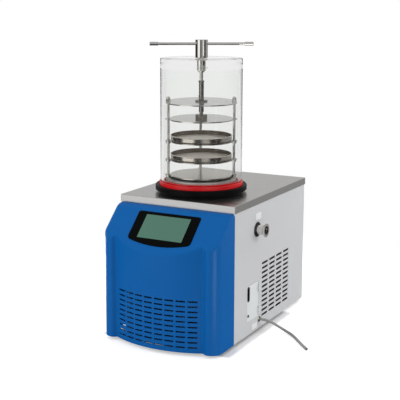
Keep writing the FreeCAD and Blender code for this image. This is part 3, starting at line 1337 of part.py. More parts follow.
def fan_shaft():
    """Shaft of the fan motor."""
    return along_y(SHAFT_RADIUS, FAN_Y0 + 6, BRACKET_Y + 31)


def fan_blade():
    """Axial fan: five set blades round a hub."""
    fan = along_y(22, FAN_Y0, FAN_Y1)
    middle = (FAN_Y0 + FAN_Y1) / 2
    for number in range(FAN_BLADES):
        blade = box(20, FAN_RADIUS, middle - 1, middle + 1, FAN_Z - 24, FAN_Z + 24)
        blade.rotate(V(0, middle, FAN_Z), X_AXIS, 20)
        blade.rotate(V(0, middle, FAN_Z), Y_AXIS, number * 360 / FAN_BLADES)
        fan = fan.fuse(blade)
    fan = fan.common(along_y(FAN_RADIUS, FAN_Y0 - 10, FAN_Y1 + 10))
    return fan.cut(along_y(SHAFT_RADIUS, FAN_Y0 + 6, FAN_Y1 + 1)).removeSplitter()


COMPRESSOR_X = -HALF_WIDTH + 116.0
COMPRESSOR_Y = BACK - 107.0
MOUNT_HEIGHT = 15.0
COMPRESSOR_Z0 = PAN_TOP + MOUNT_HEIGHT


def mount_places():
    """Corners of the compressor's foot plate."""
    reach = COMPRESSOR_RADIUS - 12
    return [(COMPRESSOR_X + sx * reach, COMPRESSOR_Y + sy * reach)
            for sx in (-1, 1) for sy in (-1, 1)]


def compressor():
    """Welded hermetic shell on its foot plate, with a terminal box."""
    half = COMPRESSOR_RADIUS - 2
    plate = box(COMPRESSOR_X - half, COMPRESSOR_X + half, COMPRESSOR_Y - half,
                COMPRESSOR_Y + half, COMPRESSOR_Z0, COMPRESSOR_Z0 + 4)
    plate = plate.makeFillet(12, upright_edges(plate, lambda p: True))
    shell = disc(COMPRESSOR_RADIUS, COMPRESSOR_Z0 + 4, COMPRESSOR_Z0 + COMPRESSOR_HEIGHT,
                 COMPRESSOR_X, COMPRESSOR_Y)
    shell = shell.makeFillet(35, level_edges(shell, COMPRESSOR_Z0 + COMPRESSOR_HEIGHT))
    weld = ring(COMPRESSOR_RADIUS + 3, COMPRESSOR_RADIUS - 4, COMPRESSOR_Z0 + 92,
                COMPRESSOR_Z0 + 97, COMPRESSOR_X, COMPRESSOR_Y)
    terminal = box(COMPRESSOR_X + COMPRESSOR_RADIUS - 12, COMPRESSOR_X + COMPRESSOR_RADIUS + 22,
                   COMPRESSOR_Y - 22, COMPRESSOR_Y + 22, COMPRESSOR_Z0 + 30,
                   COMPRESSOR_Z0 + 80)
    whole = plate.fuse(shell).fuse(weld).fuse(terminal)
    for x, y in mount_places():
        whole = whole.cut(disc(5, COMPRESSOR_Z0 - 1, COMPRESSOR_Z0 + 5, x, y))
    return whole.removeSplitter()


def compressor_mounts():
    """Rubber mounts under the compressor."""
    mounts = []
    for x, y in mount_places():
        body = disc(10, PAN_TOP, COMPRESSOR_Z0, x, y)
        mounts.append(body.fuse(disc(5, COMPRESSOR_Z0, COMPRESSOR_Z0 + 4, x, y)))
    return group([mount.removeSplitter() for mount in mounts])


PIPE_X = CONDENSER[0] / 2 - 12.0
DISCHARGE_X = COMPRESSOR_X + 25.0
DISCHARGE_Y = COMPRESSOR_Y - 20.0
COMPRESSOR_TOP = COMPRESSOR_Z0 + COMPRESSOR_HEIGHT
CONDENSER_Y = (CONDENSER_Y0 + CONDENSER_Y1) / 2
DRIER_Y0 = FRONT + 20.0


def hot_gas_pipe():
    """Hot gas pipe from the compressor to the condenser."""
    points = [(DISCHARGE_X, DISCHARGE_Y, COMPRESSOR_TOP),
              (DISCHARGE_X, DISCHARGE_Y, PIPE_LEVEL + 8), (PIPE_X, DISCHARGE_Y, PIPE_LEVEL + 8),
              (PIPE_X, CONDENSER_Y, PIPE_LEVEL + 8), (PIPE_X, CONDENSER_Y, CONDENSER_Z1)]
    return pipe(points, PIPE_RADIUS, bend=9.0)


def filter_drier():
    """Copper filter drier with tapered ends."""
    y0, y1 = DRIER_Y0, DRIER_Y0 + DRIER_LENGTH
    profile = [(0, y0), (PIPE_RADIUS + 1, y0), (DRIER_RADIUS, y0 + 14),
               (DRIER_RADIUS, y1 - 14), (PIPE_RADIUS + 1, y1), (0, y1)]
    return turned(profile, Y_AXIS, V(-COIL_RADIUS, 0, PIPE_LEVEL))


def high_side_pipes():
    """Hot gas pipe, condenser to drier, and drier up to the lowest turn of the coil."""
    first = pipe([(-COIL_RADIUS, CONDENSER_Y, CONDENSER_Z1),
                  (-COIL_RADIUS, CONDENSER_Y, PIPE_LEVEL),
                  (-COIL_RADIUS, DRIER_Y0, PIPE_LEVEL)], PIPE_RADIUS, bend=12.0)
    second = pipe([(-COIL_RADIUS, DRIER_Y0 + DRIER_LENGTH, PIPE_LEVEL),
                   (-COIL_RADIUS, 0, PIPE_LEVEL),
                   (-COIL_RADIUS, 0, coil_levels()[0])], PIPE_RADIUS, bend=12.0)
    coil = Part.makeTorus(COIL_RADIUS, COIL_TUBE, V(0, 0, coil_levels()[0]), Z_AXIS)
    return group([hot_gas_pipe(), first, second.cut(coil)])


def suction_pipe():
    """Cold gas pipe from the top turn of the coil to the compressor."""
    y = FOAM_RADIUS + SUCTION_RADIUS + 8
    side = math.sqrt(COMPRESSOR_RADIUS ** 2 - (SUCTION_X - COMPRESSOR_X) ** 2)
    points = [(SUCTION_X, SUCTION_Y, COIL_TOP_Z), (SUCTION_X, y, COIL_TOP_Z),
              (SUCTION_X, y, COMPRESSOR_Z0 + 120),
              (SUCTION_X, COMPRESSOR_Y - side + 3, COMPRESSOR_Z0 + 120)]
    coil = Part.makeTorus(COIL_RADIUS, COIL_TUBE, V(0, 0, COIL_TOP_Z), Z_AXIS)
    shell = disc(COMPRESSOR_RADIUS, COMPRESSOR_Z0, COMPRESSOR_TOP, COMPRESSOR_X, COMPRESSOR_Y)
    return pipe(points, SUCTION_RADIUS, bend=12.0).cut(coil).cut(shell)


PARTS = [
    base_pan, rubber_feet, right_panel, left_panel, rear_panel, rear_panel_screws,
    top_cover, front_moulding, screen_bezel, touch_panel, display_module, control_board,
    inlet_module, power_rocker, side_door, door_hinges, door_pull, door_lock,
    trap_pot, evaporator_coil, trap_insulation, trap_flange, seal_ring,
    chamber_cylinder, chamber_lid, gland_body, gland_nut, gland_o_rings,
    handle_hub, t_bar, bar_grips, spindle_rod, lead_screw, swivel_hub, rack_nut,
    rack_top_plate, press_plate, shelves, trays, rack_posts, post_cap_nuts,
    post_collars, rack_foot_ring, vacuum_port, port_grommet, drain_pipe, drain_valve,
    drain_lever, drain_outlet, drain_tube, condenser_coil, fan_shroud, fan_motor,
    fan_shaft, fan_blade, compressor, compressor_mounts, filter_drier, high_side_pipes,
    suction_pipe,
]


def save(make):
    """Build one piece, move it to the common origin and write it."""
    shape = make()
    shape.translate(V(-ORIGIN_X, -ORIGIN_Y, 0))
    if not shape.isValid():
        raise ValueError(make.__name__ + " is not a valid shape")
    shape.exportStep("parts/" + make.__name__ + ".step")


os.makedirs("parts", exist_ok=True)
for make_piece in PARTS:
    save(make_piece)
print(len(PARTS), "pieces written; origin at", ORIGIN_X, ORIGIN_Y, "from the chamber axis")
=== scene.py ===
import logging
import math
from dataclasses import dataclass
from enum import Enum
from typing import Any, Callable

import bmesh
import bpy
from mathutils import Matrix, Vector


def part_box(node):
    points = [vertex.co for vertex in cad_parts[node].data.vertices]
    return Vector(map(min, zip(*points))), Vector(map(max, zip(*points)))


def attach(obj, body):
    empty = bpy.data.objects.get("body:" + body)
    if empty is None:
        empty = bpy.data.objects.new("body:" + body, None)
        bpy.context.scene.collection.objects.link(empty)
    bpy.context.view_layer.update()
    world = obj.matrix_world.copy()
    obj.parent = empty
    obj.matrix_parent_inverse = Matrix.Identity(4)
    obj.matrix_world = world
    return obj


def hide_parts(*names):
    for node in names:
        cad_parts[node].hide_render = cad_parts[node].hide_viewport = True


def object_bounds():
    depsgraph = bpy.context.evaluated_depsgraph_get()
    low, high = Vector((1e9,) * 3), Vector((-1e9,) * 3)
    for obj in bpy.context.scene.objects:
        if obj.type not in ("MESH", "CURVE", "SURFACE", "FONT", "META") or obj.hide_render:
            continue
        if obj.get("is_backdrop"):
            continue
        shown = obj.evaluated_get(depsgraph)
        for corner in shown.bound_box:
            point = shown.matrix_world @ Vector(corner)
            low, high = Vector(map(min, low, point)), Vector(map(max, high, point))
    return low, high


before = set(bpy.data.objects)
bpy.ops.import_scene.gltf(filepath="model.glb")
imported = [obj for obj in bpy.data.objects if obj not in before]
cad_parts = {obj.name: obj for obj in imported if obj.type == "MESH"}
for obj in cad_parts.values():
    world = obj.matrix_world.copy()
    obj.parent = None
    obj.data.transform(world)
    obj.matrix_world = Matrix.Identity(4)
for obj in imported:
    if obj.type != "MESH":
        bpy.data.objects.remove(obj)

log = logging.getLogger("freeze_dryer")

MM = 0.001
# two points or levels closer than this are the same one
NEAR = 0.1 * MM
# vertices closer than this are welded
WELD = 0.01 * MM
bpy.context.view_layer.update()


# --- materials: small helpers ------------------------------------------------------------
def colour(code: str) -> tuple[float, float, float, float]:
    """Turn an sRGB hex value into the linear colour that a shader needs.

    Args:
        code: six hex digits, with or without a leading hash.

    Returns:
        Linear red, green, blue and an alpha of one.
    """
    digits = code.lstrip("#")
    linear = []
    for start in (0, 2, 4):
        value = int(digits[start:start + 2], 16) / 255
        linear.append(value / 12.92 if value <= 0.04045 else ((value + 0.055) / 1.055) ** 2.4)
    return (linear[0], linear[1], linear[2], 1.0)


def add_node(tree: bpy.types.NodeTree, kind: str, inputs: dict[Any, Any],
             **settings: Any) -> bpy.types.Node:
    """Add one node with its settings, its constant inputs and its links.

    Args:
        tree: the node tree to add to.
        kind: Blender's node type.
        inputs: a value or an output socket for each input, by name or number.
        **settings: attributes of the node itself.

    Returns:
        The new node.
    """
    made = tree.nodes.new(kind)
    for name, value in settings.items():
        setattr(made, name, value)
    for name, value in inputs.items():
        if isinstance(value, bpy.types.NodeSocket):
            tree.links.new(value, made.inputs[name])
        else:
            made.inputs[name].default_value = value
    return made


def per_metre(size_mm: float) -> float:
    """Texture scale whose features repeat every size_mm on an object in metres."""
    return 1000.0 / size_mm


class Grain(Enum):
    """How a metal surface was worked."""
    ALONG_X = "brushed along the cover"
    ALONG_Z = "drawn or rolled upright"
    TURNED = "turned about the chamber axis"
    POLISHED = "buffed"
    SPANGLED = "zinc dipped"


@dataclass(frozen=True)
class Finish:
    """A finish with a name; each kind adds its own nodes round one shader."""
    name: str

    def material(self) -> bpy.types.Material:
        """Make the material once, or return it if it is made already."""
        made = bpy.data.materials.get(self.name)
        if made is None:
            made = bpy.data.materials.new(self.name)
            made.use_nodes = True
            tree = made.node_tree
            self.dress(tree, tree.nodes["Principled BSDF"])
        return made

    def dress(self, tree: bpy.types.NodeTree, shader: bpy.types.Node) -> None:
        """Set the shader and add the pattern.

        Args:
            tree: the material's node tree.
            shader: its principled shader.
        """
        raise NotImplementedError


def object_point(tree: bpy.types.NodeTree, scale: tuple[float, float, float],
                 shift: Vector = Vector()) -> bpy.types.NodeSocket:
    """Object coordinates in metres, moved and then stretched.

    Args:
        tree: the material's node tree.
        scale: stretch along each axis.
        shift: the point that becomes the pattern's centre.

    Returns:
        The vector socket to feed a texture.
    """
    place = add_node(tree, "ShaderNodeTexCoord", {})
    moved = add_node(tree, "ShaderNodeVectorMath", {0: place.outputs["Object"], 1: tuple(shift)},
                     operation="SUBTRACT")
    return add_node(tree, "ShaderNodeVectorMath", {0: moved.outputs[0], 1: scale},
                    operation="MULTIPLY").outputs[0]


def spread(tree: bpy.types.NodeTree, value: bpy.types.NodeSocket, low: float,
           high: float) -> bpy.types.NodeSocket:
    """Map a 0 to 1 pattern to the range between two values."""
    return add_node(tree, "ShaderNodeMapRange", {0: value, 3: low, 4: high}).outputs[0]


def tinted(tree: bpy.types.NodeTree, factor: bpy.types.NodeSocket, first: str,
           second: str) -> bpy.types.NodeSocket:
    """Blend two sRGB colours by a pattern."""
    mixed = add_node(tree, "ShaderNodeMix", {0: factor, 6: colour(first), 7: colour(second)},
                     data_type="RGBA")
    return mixed.outputs[2]


def relief(tree: bpy.types.NodeTree, shader: bpy.types.Node, height: bpy.types.NodeSocket,
           depth_mm: float, strength: float = 1.0) -> None:
    """Bump the shader's surface by a pattern of the given depth."""
    bump = add_node(tree, "ShaderNodeBump",
                    {"Strength": strength, "Distance": depth_mm * MM, "Height": height})
    tree.links.new(bump.outputs[0], shader.inputs["Normal"])


# --- finishes ----------------------------------------------------------------------------
@dataclass(frozen=True)
class Metal(Finish):
    """Bare metal: its colour, how it was worked and how fine the marks are."""
    light: str
    dark: str
    roughness: float
    grain: Grain
    mark_mm: float = 0.6

    def pattern(self, tree: bpy.types.NodeTree) -> bpy.types.NodeSocket:
        """The marks of the working, from 0 to 1."""
        fine = per_metre(self.mark_mm)
        if self.grain is Grain.TURNED:
            flat = object_point(tree, (1.0, 1.0, 0.0), chamber_axis())
            radius = add_node(tree, "ShaderNodeVectorMath", {0: flat}, operation="LENGTH")
            rings = add_node(tree, "ShaderNodeTexNoise",
                             {"W": radius.outputs["Value"], "Scale": fine, "Detail": 4.0},
                             noise_dimensions="1D")
            return rings.outputs["Fac"]
        if self.grain is Grain.SPANGLED:
            point = object_point(tree, (fine, fine, fine))
            cells = add_node(tree, "ShaderNodeTexVoronoi", {"Vector": point, "Scale": 1.0})
            return cells.outputs["Color"]
        stretch = {
            Grain.ALONG_X: (fine * 0.02, fine, fine),
            Grain.ALONG_Z: (fine, fine, fine * 0.02),
            Grain.POLISHED: (fine * 0.05, fine * 0.05, fine * 0.05),
        }[self.grain]
        streaks = add_node(tree, "ShaderNodeTexNoise",
                           {"Vector": object_point(tree, stretch), "Scale": 1.0, "Detail": 5.0})
        return streaks.outputs["Fac"]

    def dress(self, tree: bpy.types.NodeTree, shader: bpy.types.Node) -> None:
        """Tint, roughen and score the metal along its grain."""
        marks = self.pattern(tree)
        shader.inputs["Metallic"].default_value = 1.0
        tree.links.new(tinted(tree, marks, self.dark, self.light), shader.inputs["Base Color"])
        swing = 0.35 * self.roughness
        tree.links.new(spread(tree, marks, self.roughness - swing, self.roughness + swing),
                       shader.inputs["Roughness"])
        if self.grain is not Grain.POLISHED:
            relief(tree, shader, marks, 0.02, 0.25)


@dataclass(frozen=True)
class DrawnTray(Finish):
    """Deep-drawn dish: a scuffed pale floor between darker, smoother walls. The floor's pale tone
    is painted light and the walls' darker tone is painted shade, darkest inside the dish.
    """
    # floor: pale tone of faces that look up, painted light; wall: darker tone of the outer walls,
    # painted shade
    floor: str
    wall: str
    # inside: darkest tone, for the walls inside the dish, painted shade
    inside: str
    floor_roughness: float
    wall_roughness: float
    scuff_mm: float = 6.0
    # upward look of a face: all wall below the first value, all floor above the second
    turn_up: tuple[float, float] = (0.3, 0.9)
    # metres outwards, negative inwards, over which one side of a wall gives way to the other
    turn_out: tuple[float, float] = (-0.02, 0.02)

    def dress(self, tree: bpy.types.NodeTree, shader: bpy.types.Node) -> None:
        """Tell floor from wall by the way each face looks, paint the floor pale as lit and the
        walls darker as shaded, and scuff both.
        """
        normal = add_node(tree, "ShaderNodeNewGeometry", {}).outputs["Normal"]
        facing = add_node(tree, "ShaderNodeSeparateXYZ", {0: normal})
        level = add_node(tree, "ShaderNodeMapRange",
                         {0: facing.outputs["Z"], 1: self.turn_up[0], 2: self.turn_up[1]})
        fine = per_metre(self.scuff_mm)
        scuff = add_node(tree, "ShaderNodeTexNoise",
                         {"Vector": object_point(tree, (fine, fine, fine * 0.2)), "Scale": 1.0,
                          "Detail": 5.0})
        # the blasted floor scatters light as paint does, and the walls mirror it
        tree.links.new(spread(tree, level.outputs[0], 1.0, 0.1), shader.inputs["Metallic"])
        worn = tinted(tree, scuff.outputs["Fac"], self.floor, "#FFFFFF")
        # a wall that looks back at the axis is inside the dish, and gets the darkest tone:
        # painted shade for the dish's inside
        outwards = add_node(tree, "ShaderNodeVectorMath",
                            {0: normal,
                             1: object_point(tree, (1.0, 1.0, 0.0), chamber_axis())},
                            operation="DOT_PRODUCT")
        side = add_node(tree, "ShaderNodeMapRange",
                        {0: outwards.outputs["Value"], 1: self.turn_out[0],
                         2: self.turn_out[1]})
        # painted light and shade: faces that look up take the pale floor tone, walls the darker
        # tones
        lit_and_shaded_tone = add_node(tree, "ShaderNodeMix",
                        {0: level.outputs[0],
                         6: tinted(tree, side.outputs[0], self.inside, self.wall),
                         7: colour(self.floor)}, data_type="RGBA").outputs[2]
        tree.links.new(add_node(tree, "ShaderNodeMix",
                                {0: spread(tree, scuff.outputs["Fac"], 0.0, 0.12),
                                 6: lit_and_shaded_tone, 7: worn}, data_type="RGBA").outputs[2],
                       shader.inputs["Base Color"])
        gloss = spread(tree, level.outputs[0], self.wall_roughness, self.floor_roughness)
        tree.links.new(add_node(tree, "ShaderNodeMath",
                                {0: spread(tree, scuff.outputs["Fac"], -0.05, 0.05), 1: gloss},
                                operation="ADD").outputs[0], shader.inputs["Roughness"])
        relief(tree, shader, scuff.outputs["Fac"], 0.03, 0.2)


@dataclass(frozen=True)
class Coating(Finish):
    """Paint or powder coat over sheet metal: slight orange peel under an even gloss."""
    tone: str
    shade: str
    roughness: float
    peel_mm: float = 1.6
    depth_mm: float = 0.03
    clear_coat: float = 0.0

    def dress(self, tree: bpy.types.NodeTree, shader: bpy.types.Node) -> None:
        """Lay the coat with its peel and a faint drift of tone."""
        drift = add_node(tree, "ShaderNodeTexNoise",
                         {"Vector": object_point(tree, (9.0, 9.0, 9.0)), "Scale": 1.0,
                          "Detail": 2.0})
        tree.links.new(tinted(tree, drift.outputs["Fac"], self.shade, self.tone),
                       shader.inputs["Base Color"])
        fine = per_metre(self.peel_mm)
        peel = add_node(tree, "ShaderNodeTexNoise",
                        {"Vector": object_point(tree, (fine, fine, fine)), "Scale": 1.0,
                         "Detail": 3.0})
        relief(tree, shader, peel.outputs["Fac"], self.depth_mm, 0.5)
        tree.links.new(spread(tree, peel.outputs["Fac"], self.roughness - 0.05,
                              self.roughness + 0.05), shader.inputs["Roughness"])
        shader.inputs["IOR"].default_value = 1.5
        shader.inputs["Coat Weight"].default_value = self.clear_coat
        shader.inputs["Coat Roughness"].default_value = 0.12


@dataclass(frozen=True)
class Moulded(Finish):
    """Injection-moulded plastic or rubber with the fine texture of its tool."""
    tone: str
    shade: str
    roughness: float
    texture_mm: float = 0.8
    depth_mm: float = 0.015
    clear_coat: float = 0.0
    ior: float = 1.53
    under_skin: float = 0.0
    gloss: float = 0.5

    def dress(self, tree: bpy.types.NodeTree, shader: bpy.types.Node) -> None:
        """Give the moulding its colour, tool texture and gloss."""
        drift = add_node(tree, "ShaderNodeTexNoise",
                         {"Vector": object_point(tree, (14.0, 14.0, 14.0)), "Scale": 1.0,
                          "Detail": 3.0})
        tree.links.new(tinted(tree, drift.outputs["Fac"], self.shade, self.tone),
                       shader.inputs["Base Color"])
        fine = per_metre(self.texture_mm)
        grit = add_node(tree, "ShaderNodeTexNoise",
                        {"Vector": object_point(tree, (fine, fine, fine)), "Scale": 1.0,
                         "Detail": 4.0, "Roughness": 0.6})
        relief(tree, shader, grit.outputs["Fac"], self.depth_mm, 0.6)
        tree.links.new(spread(tree, grit.outputs["Fac"], self.roughness - 0.06,
                              self.roughness + 0.06), shader.inputs["Roughness"])
        shader.inputs["IOR"].default_value = self.ior
        shader.inputs["Coat Weight"].default_value = self.clear_coat
        shader.inputs["Coat Roughness"].default_value = 0.08
        shader.inputs["Specular IOR Level"].default_value = self.gloss
        shader.inputs["Subsurface Weight"].default_value = self.under_skin
        shader.inputs["Subsurface Scale"].default_value = 2.0 * MM


@dataclass(frozen=True)
class Clear(Finish):
    """Clear plastic: polished, faintly hazy, with a tint that only shows in depth."""
    tint: str
    roughness: float
    ior: float
    see_through: float = 1.0
    haze_mm: float = 30.0
    gloss: float = 0.5
    lamp_share: float = 0.0

    def dress(self, tree: bpy.types.NodeTree, shader: bpy.types.Node) -> None:
        """Let light through and vary the polish a little."""
        shader.inputs["Base Color"].default_value = colour(self.tint)
        shader.inputs["Transmission Weight"].default_value = self.see_through
        shader.inputs["IOR"].default_value = self.ior
        shader.inputs["Specular IOR Level"].default_value = self.gloss
        fine = per_metre(self.haze_mm)
        haze = add_node(tree, "ShaderNodeTexNoise",
                        {"Vector": object_point(tree, (fine, fine, fine)), "Scale": 1.0,
                         "Detail": 3.0})
        tree.links.new(spread(tree, haze.outputs["Fac"], self.roughness * 0.4,
                              self.roughness * 1.6), shader.inputs["Roughness"])
        if self.lamp_share:
            self.let_lamps_in(tree, shader)

    def let_lamps_in(self, tree: bpy.types.NodeTree, shader: bpy.types.Node) -> None:
        """Pass light straight on from the lamps to what stands behind the plastic.

        Args:
            tree: the material's node tree.
            shader: its principled shader.
        """
        path = add_node(tree, "ShaderNodeLightPath", {})
        passed = (self.lamp_share, self.lamp_share, self.lamp_share, 1.0)
        open_air = add_node(tree, "ShaderNodeBsdfTransparent", {"Color": passed})
        both = add_node(tree, "ShaderNodeMixShader", {0: path.outputs["Is Shadow Ray"],
                                                      1: shader.outputs[0],
                                                      2: open_air.outputs[0]})
        tree.links.new(both.outputs[0], tree.nodes["Material Output"].inputs["Surface"])


@dataclass(frozen=True)
class Display(Finish):
    """Unlit liquid-crystal glass: flat green under a glossy front."""
    tone: str
    edge: str
    dot_mm: float = 1.2

    def dress(self, tree: bpy.types.NodeTree, shader: bpy.types.Node) -> None:
        """Draw the faint dot rows of the crystal under the glass."""
        fine = per_metre(self.dot_mm)
        rows = add_node(tree, "ShaderNodeTexWave",
                        {"Vector": object_point(tree, (fine, fine, fine)), "Scale": 0.5,
                         "Distortion": 0.0}, bands_direction="X")
        faint = spread(tree, rows.outputs["Fac"], 0.0, 0.25)
        tree.links.new(tinted(tree, faint, self.tone, self.edge), shader.inputs["Base Color"])
        shader.inputs["Roughness"].default_value = 0.22
        shader.inputs["IOR"].default_value = 1.5
        shader.inputs["Coat Weight"].default_value = 0.6
        shader.inputs["Coat Roughness"].default_value = 0.05


@dataclass(frozen=True)
class SolderMask(Finish):
    """Green circuit board with copper tracks showing through the mask."""
    tone: str
    track: str
    track_mm: float = 6.0

    def dress(self, tree: bpy.types.NodeTree, shader: bpy.types.Node) -> None:
        """Lay square-cornered tracks under a glossy mask."""
        fine = per_metre(self.track_mm)
        tracks = add_node(tree, "ShaderNodeTexBrick",
                          {"Vector": object_point(tree, (fine, fine, fine)), "Scale": 1.0,
                           "Mortar Size": 0.08})
        tree.links.new(tinted(tree, tracks.outputs["Fac"], self.tone, self.track),
                       shader.inputs["Base Color"])
        shader.inputs["Roughness"].default_value = 0.3
        relief(tree, shader, tracks.outputs["Fac"], 0.04, 0.6)


@dataclass(frozen=True)
class CellFoam(Finish):
    """Poured polyurethane foam: pale yellow, full of small open cells."""
    tone: str
    pore: str
    cell_mm: float = 2.5

    def dress(self, tree: bpy.types.NodeTree, shader: bpy.types.Node) -> None:
        """Pit the foam with cells."""
        fine = per_metre(self.cell_mm)
        cells = add_node(tree, "ShaderNodeTexVoronoi",
                         {"Vector": object_point(tree, (fine, fine, fine)), "Scale": 1.0})
        tree.links.new(tinted(tree, cells.outputs["Distance"], self.pore, self.tone),
                       shader.inputs["Base Color"])
        shader.inputs["Roughness"].default_value = 0.9
        relief(tree, shader, cells.outputs["Distance"], 0.8, 0.8)


# brushed 304 sheet: broad soft streaks along the fold
COVER_STEEL = Metal("brushed_304_sheet", "#CFCECC", "#AFAEAC", 0.30, Grain.ALONG_X, 0.9)
# the pot is drawn sheet, duller than the cover
DRAWN_STEEL = Metal("drawn_304_sheet", "#CFCECC", "#A9A8A5", 0.34, Grain.ALONG_Z, 0.8)
# plates are faced on a lathe and buffed, so they mirror with fine rings
TURNED_STEEL = Metal("turned_304_plate", "#DAD8D4", "#C4C2BE", 0.14, Grain.TURNED, 1.2)
# buffed rod and nuts: sharp reflections with a trace of handling
POLISHED_STEEL = Metal("polished_304_bar", "#E2E0DC", "#CFCDC9", 0.09, Grain.POLISHED, 1.0)
# the screw is rolled and left bright-drawn, so it is darker than the buffed parts
SCREW_STEEL = Metal("rolled_screw_steel", "#A19E98", "#6F6C67", 0.20, Grain.ALONG_Z, 2.0)
# dishes pressed from sheet: the floor is scuffed by use, the walls keep the press's burnish; the
# floor's pale tone is painted light, the walls' darker tone painted shade, darkest inside the
# dish
TRAY_STEEL = DrawnTray("pressed_dish_sheet", "#F6F0E7", "#B8B1A7", "#6A6259", 0.50, 0.16)
# shelves rolled and left as they came: warmer and a shade darker than the faced plates
SHELF_STEEL = Metal("rolled_304_shelf", "#C6C0B8", "#B0AAA2", 0.22, Grain.TURNED, 1.2)
# bead-blasted ring: it spreads what it mirrors to an even grey
BLASTED_STEEL = Metal("bead_blasted_304_ring", "#E2E0DC", "#D2D0CC", 0.58, Grain.TURNED, 0.8)
# zinc spangle, about 8 mm across
ZINC_SHEET = Metal("zinc_dipped_sheet", "#AEB3B5", "#8C9194", 0.42, Grain.SPANGLED, 8.0)
# refrigeration copper, drawn and lightly tarnished
COPPER_TUBE = Metal("drawn_copper_tube", "#D98F6C", "#B5663F", 0.28, Grain.ALONG_Z, 1.5)
# brass bar turned to a ball valve's body
VALVE_BRASS = Metal("turned_valve_brass", "#D9B36A", "#B08A42", 0.30, Grain.ALONG_X, 0.7)
# mill-finish fin stock, dull and a little dusty
FIN_ALUMINIUM = Metal("mill_aluminium_fins", "#A9A39B", "#7E776E", 0.45, Grain.ALONG_Z, 2.0)

# polyester powder coat: even light grey with a soft sheen
PANEL_POWDER = Coating("light_grey_powder_coat", "#C6C7C9", "#C1C2C4", 0.46)
# the same coat from a paler batch, on the service door
DOOR_POWDER = Coating("pale_grey_powder_coat", "#D9DCDD", "#D4D7D8", 0.42)
# stoved enamel on the compressor and motor: deep gloss with visible peel
BLACK_ENAMEL = Coating("black_stoved_enamel", "#17181A", "#101113", 0.25, 3.0, 0.05, 0.5)

# moulded ABS: strong blue, semi-gloss, with the tool's fine grain
BLUE_ABS = Moulded("blue_moulded_abs", "#025CA4", "#0159A0", 0.40, 0.9, 0.012, gloss=0.12)
# gloss black acrylic round the screen, which mirrors little of the white room
BLACK_ACRYLIC = Moulded("black_gloss_acrylic", "#020303", "#010202", 0.14, 4.0, 0.002,
                        gloss=0.06)
# glass-filled nylon: black, satin and slightly grainy
BLACK_NYLON = Moulded("black_moulded_nylon", "#17181A", "#101112", 0.42, 1.0, 0.02)
# acetal turned to a flange: the deepest black on the machine
FLANGE_BLACK = Moulded("black_machined_acetal", "#070808", "#050505", 0.46, 0.7, 0.02,
                       gloss=0.08)
# nitrile rubber of feet, grommet and rings
BLACK_RUBBER = Moulded("black_moulded_rubber", "#1B1B1C", "#131314", 0.62, 1.4, 0.04, 0.0, 1.52)
# cured silicone: light sinks into it a little before it comes back
RED_SILICONE = Moulded("red_moulded_silicone", "#D8161D", "#C41018", 0.36, 1.2, 0.02, 0.0,
                       1.43, 0.15)
# white vinyl film
LABEL_VINYL = Moulded("blank_white_vinyl", "#E6E7E8", "#DFE0E1", 0.35, 1.5, 0.005)

# cast acrylic: almost colourless, and lit so evenly from behind that its edges nearly vanish,
# so it bends light less here than the usual 1.49
CAST_ACRYLIC = Clear("clear_cast_acrylic", "#FDFEFD", 0.01, 1.22, lamp_share=0.95)
# silicone tubing: milky, so only some light comes straight through
SILICONE_TUBE = Clear("milky_silicone_tubing", "#BDBEBC", 0.35, 1.41, 0.45, 8.0)

# the screen is off: green glass with faint dot rows
LCD_GREEN = Display("green_lcd_glass", "#427160", "#3A6755")
# fibreglass board under solder mask
CIRCUIT_GREEN = SolderMask("green_solder_mask", "#0E5A2E", "#2E8A4E")
# foam poured round the trap and left to yellow
POURED_FOAM = CellFoam("poured_polyurethane_foam", "#E2CC93", "#A88F55")

FINISH_OF = {
    "base_pan": ZINC_SHEET, "rubber_feet": BLACK_RUBBER, "right_panel": PANEL_POWDER,
    "left_panel": PANEL_POWDER, "rear_panel": PANEL_POWDER,
    "rear_panel_screws": POLISHED_STEEL, "top_cover": COVER_STEEL,
    "front_moulding": BLUE_ABS, "screen_bezel": BLACK_ACRYLIC, "touch_panel": LCD_GREEN,
    "display_module": ZINC_SHEET, "control_board": CIRCUIT_GREEN,
    "inlet_module": BLACK_NYLON, "power_rocker": BLACK_ACRYLIC, "side_door": DOOR_POWDER,
    "door_hinges": DOOR_POWDER, "door_pull": BLACK_NYLON, "door_lock": BLACK_NYLON,
    "trap_pot": DRAWN_STEEL, "evaporator_coil": COPPER_TUBE,
    "trap_insulation": POURED_FOAM, "trap_flange": FLANGE_BLACK,
    "seal_ring": RED_SILICONE, "gland_body": POLISHED_STEEL,
    "gland_nut": POLISHED_STEEL, "gland_o_rings": BLACK_RUBBER,
    "handle_hub": POLISHED_STEEL, "t_bar": POLISHED_STEEL, "bar_grips": POLISHED_STEEL,
    "spindle_rod": POLISHED_STEEL,
    "swivel_hub": SCREW_STEEL, "rack_nut": SCREW_STEEL,
    "rack_top_plate": TURNED_STEEL, "press_plate": TURNED_STEEL,
    "shelves": SHELF_STEEL, "trays": TRAY_STEEL, "rack_posts": POLISHED_STEEL,
    "post_cap_nuts": POLISHED_STEEL, "post_collars": POLISHED_STEEL,
    "rack_foot_ring": BLASTED_STEEL, "vacuum_port": POLISHED_STEEL,
    "port_grommet": BLACK_RUBBER, "drain_pipe": DRAWN_STEEL, "drain_valve": VALVE_BRASS,
    "drain_lever": ZINC_SHEET, "drain_outlet": POLISHED_STEEL,
    "condenser_coil": FIN_ALUMINIUM, "fan_shroud": ZINC_SHEET,
    "fan_motor": BLACK_ENAMEL, "fan_shaft": POLISHED_STEEL, "fan_blade": BLACK_NYLON,
    "compressor": BLACK_ENAMEL, "compressor_mounts": BLACK_RUBBER,
    "filter_drier": COPPER_TUBE, "high_side_pipes": COPPER_TUBE,
    "suction_pipe": COPPER_TUBE,
}


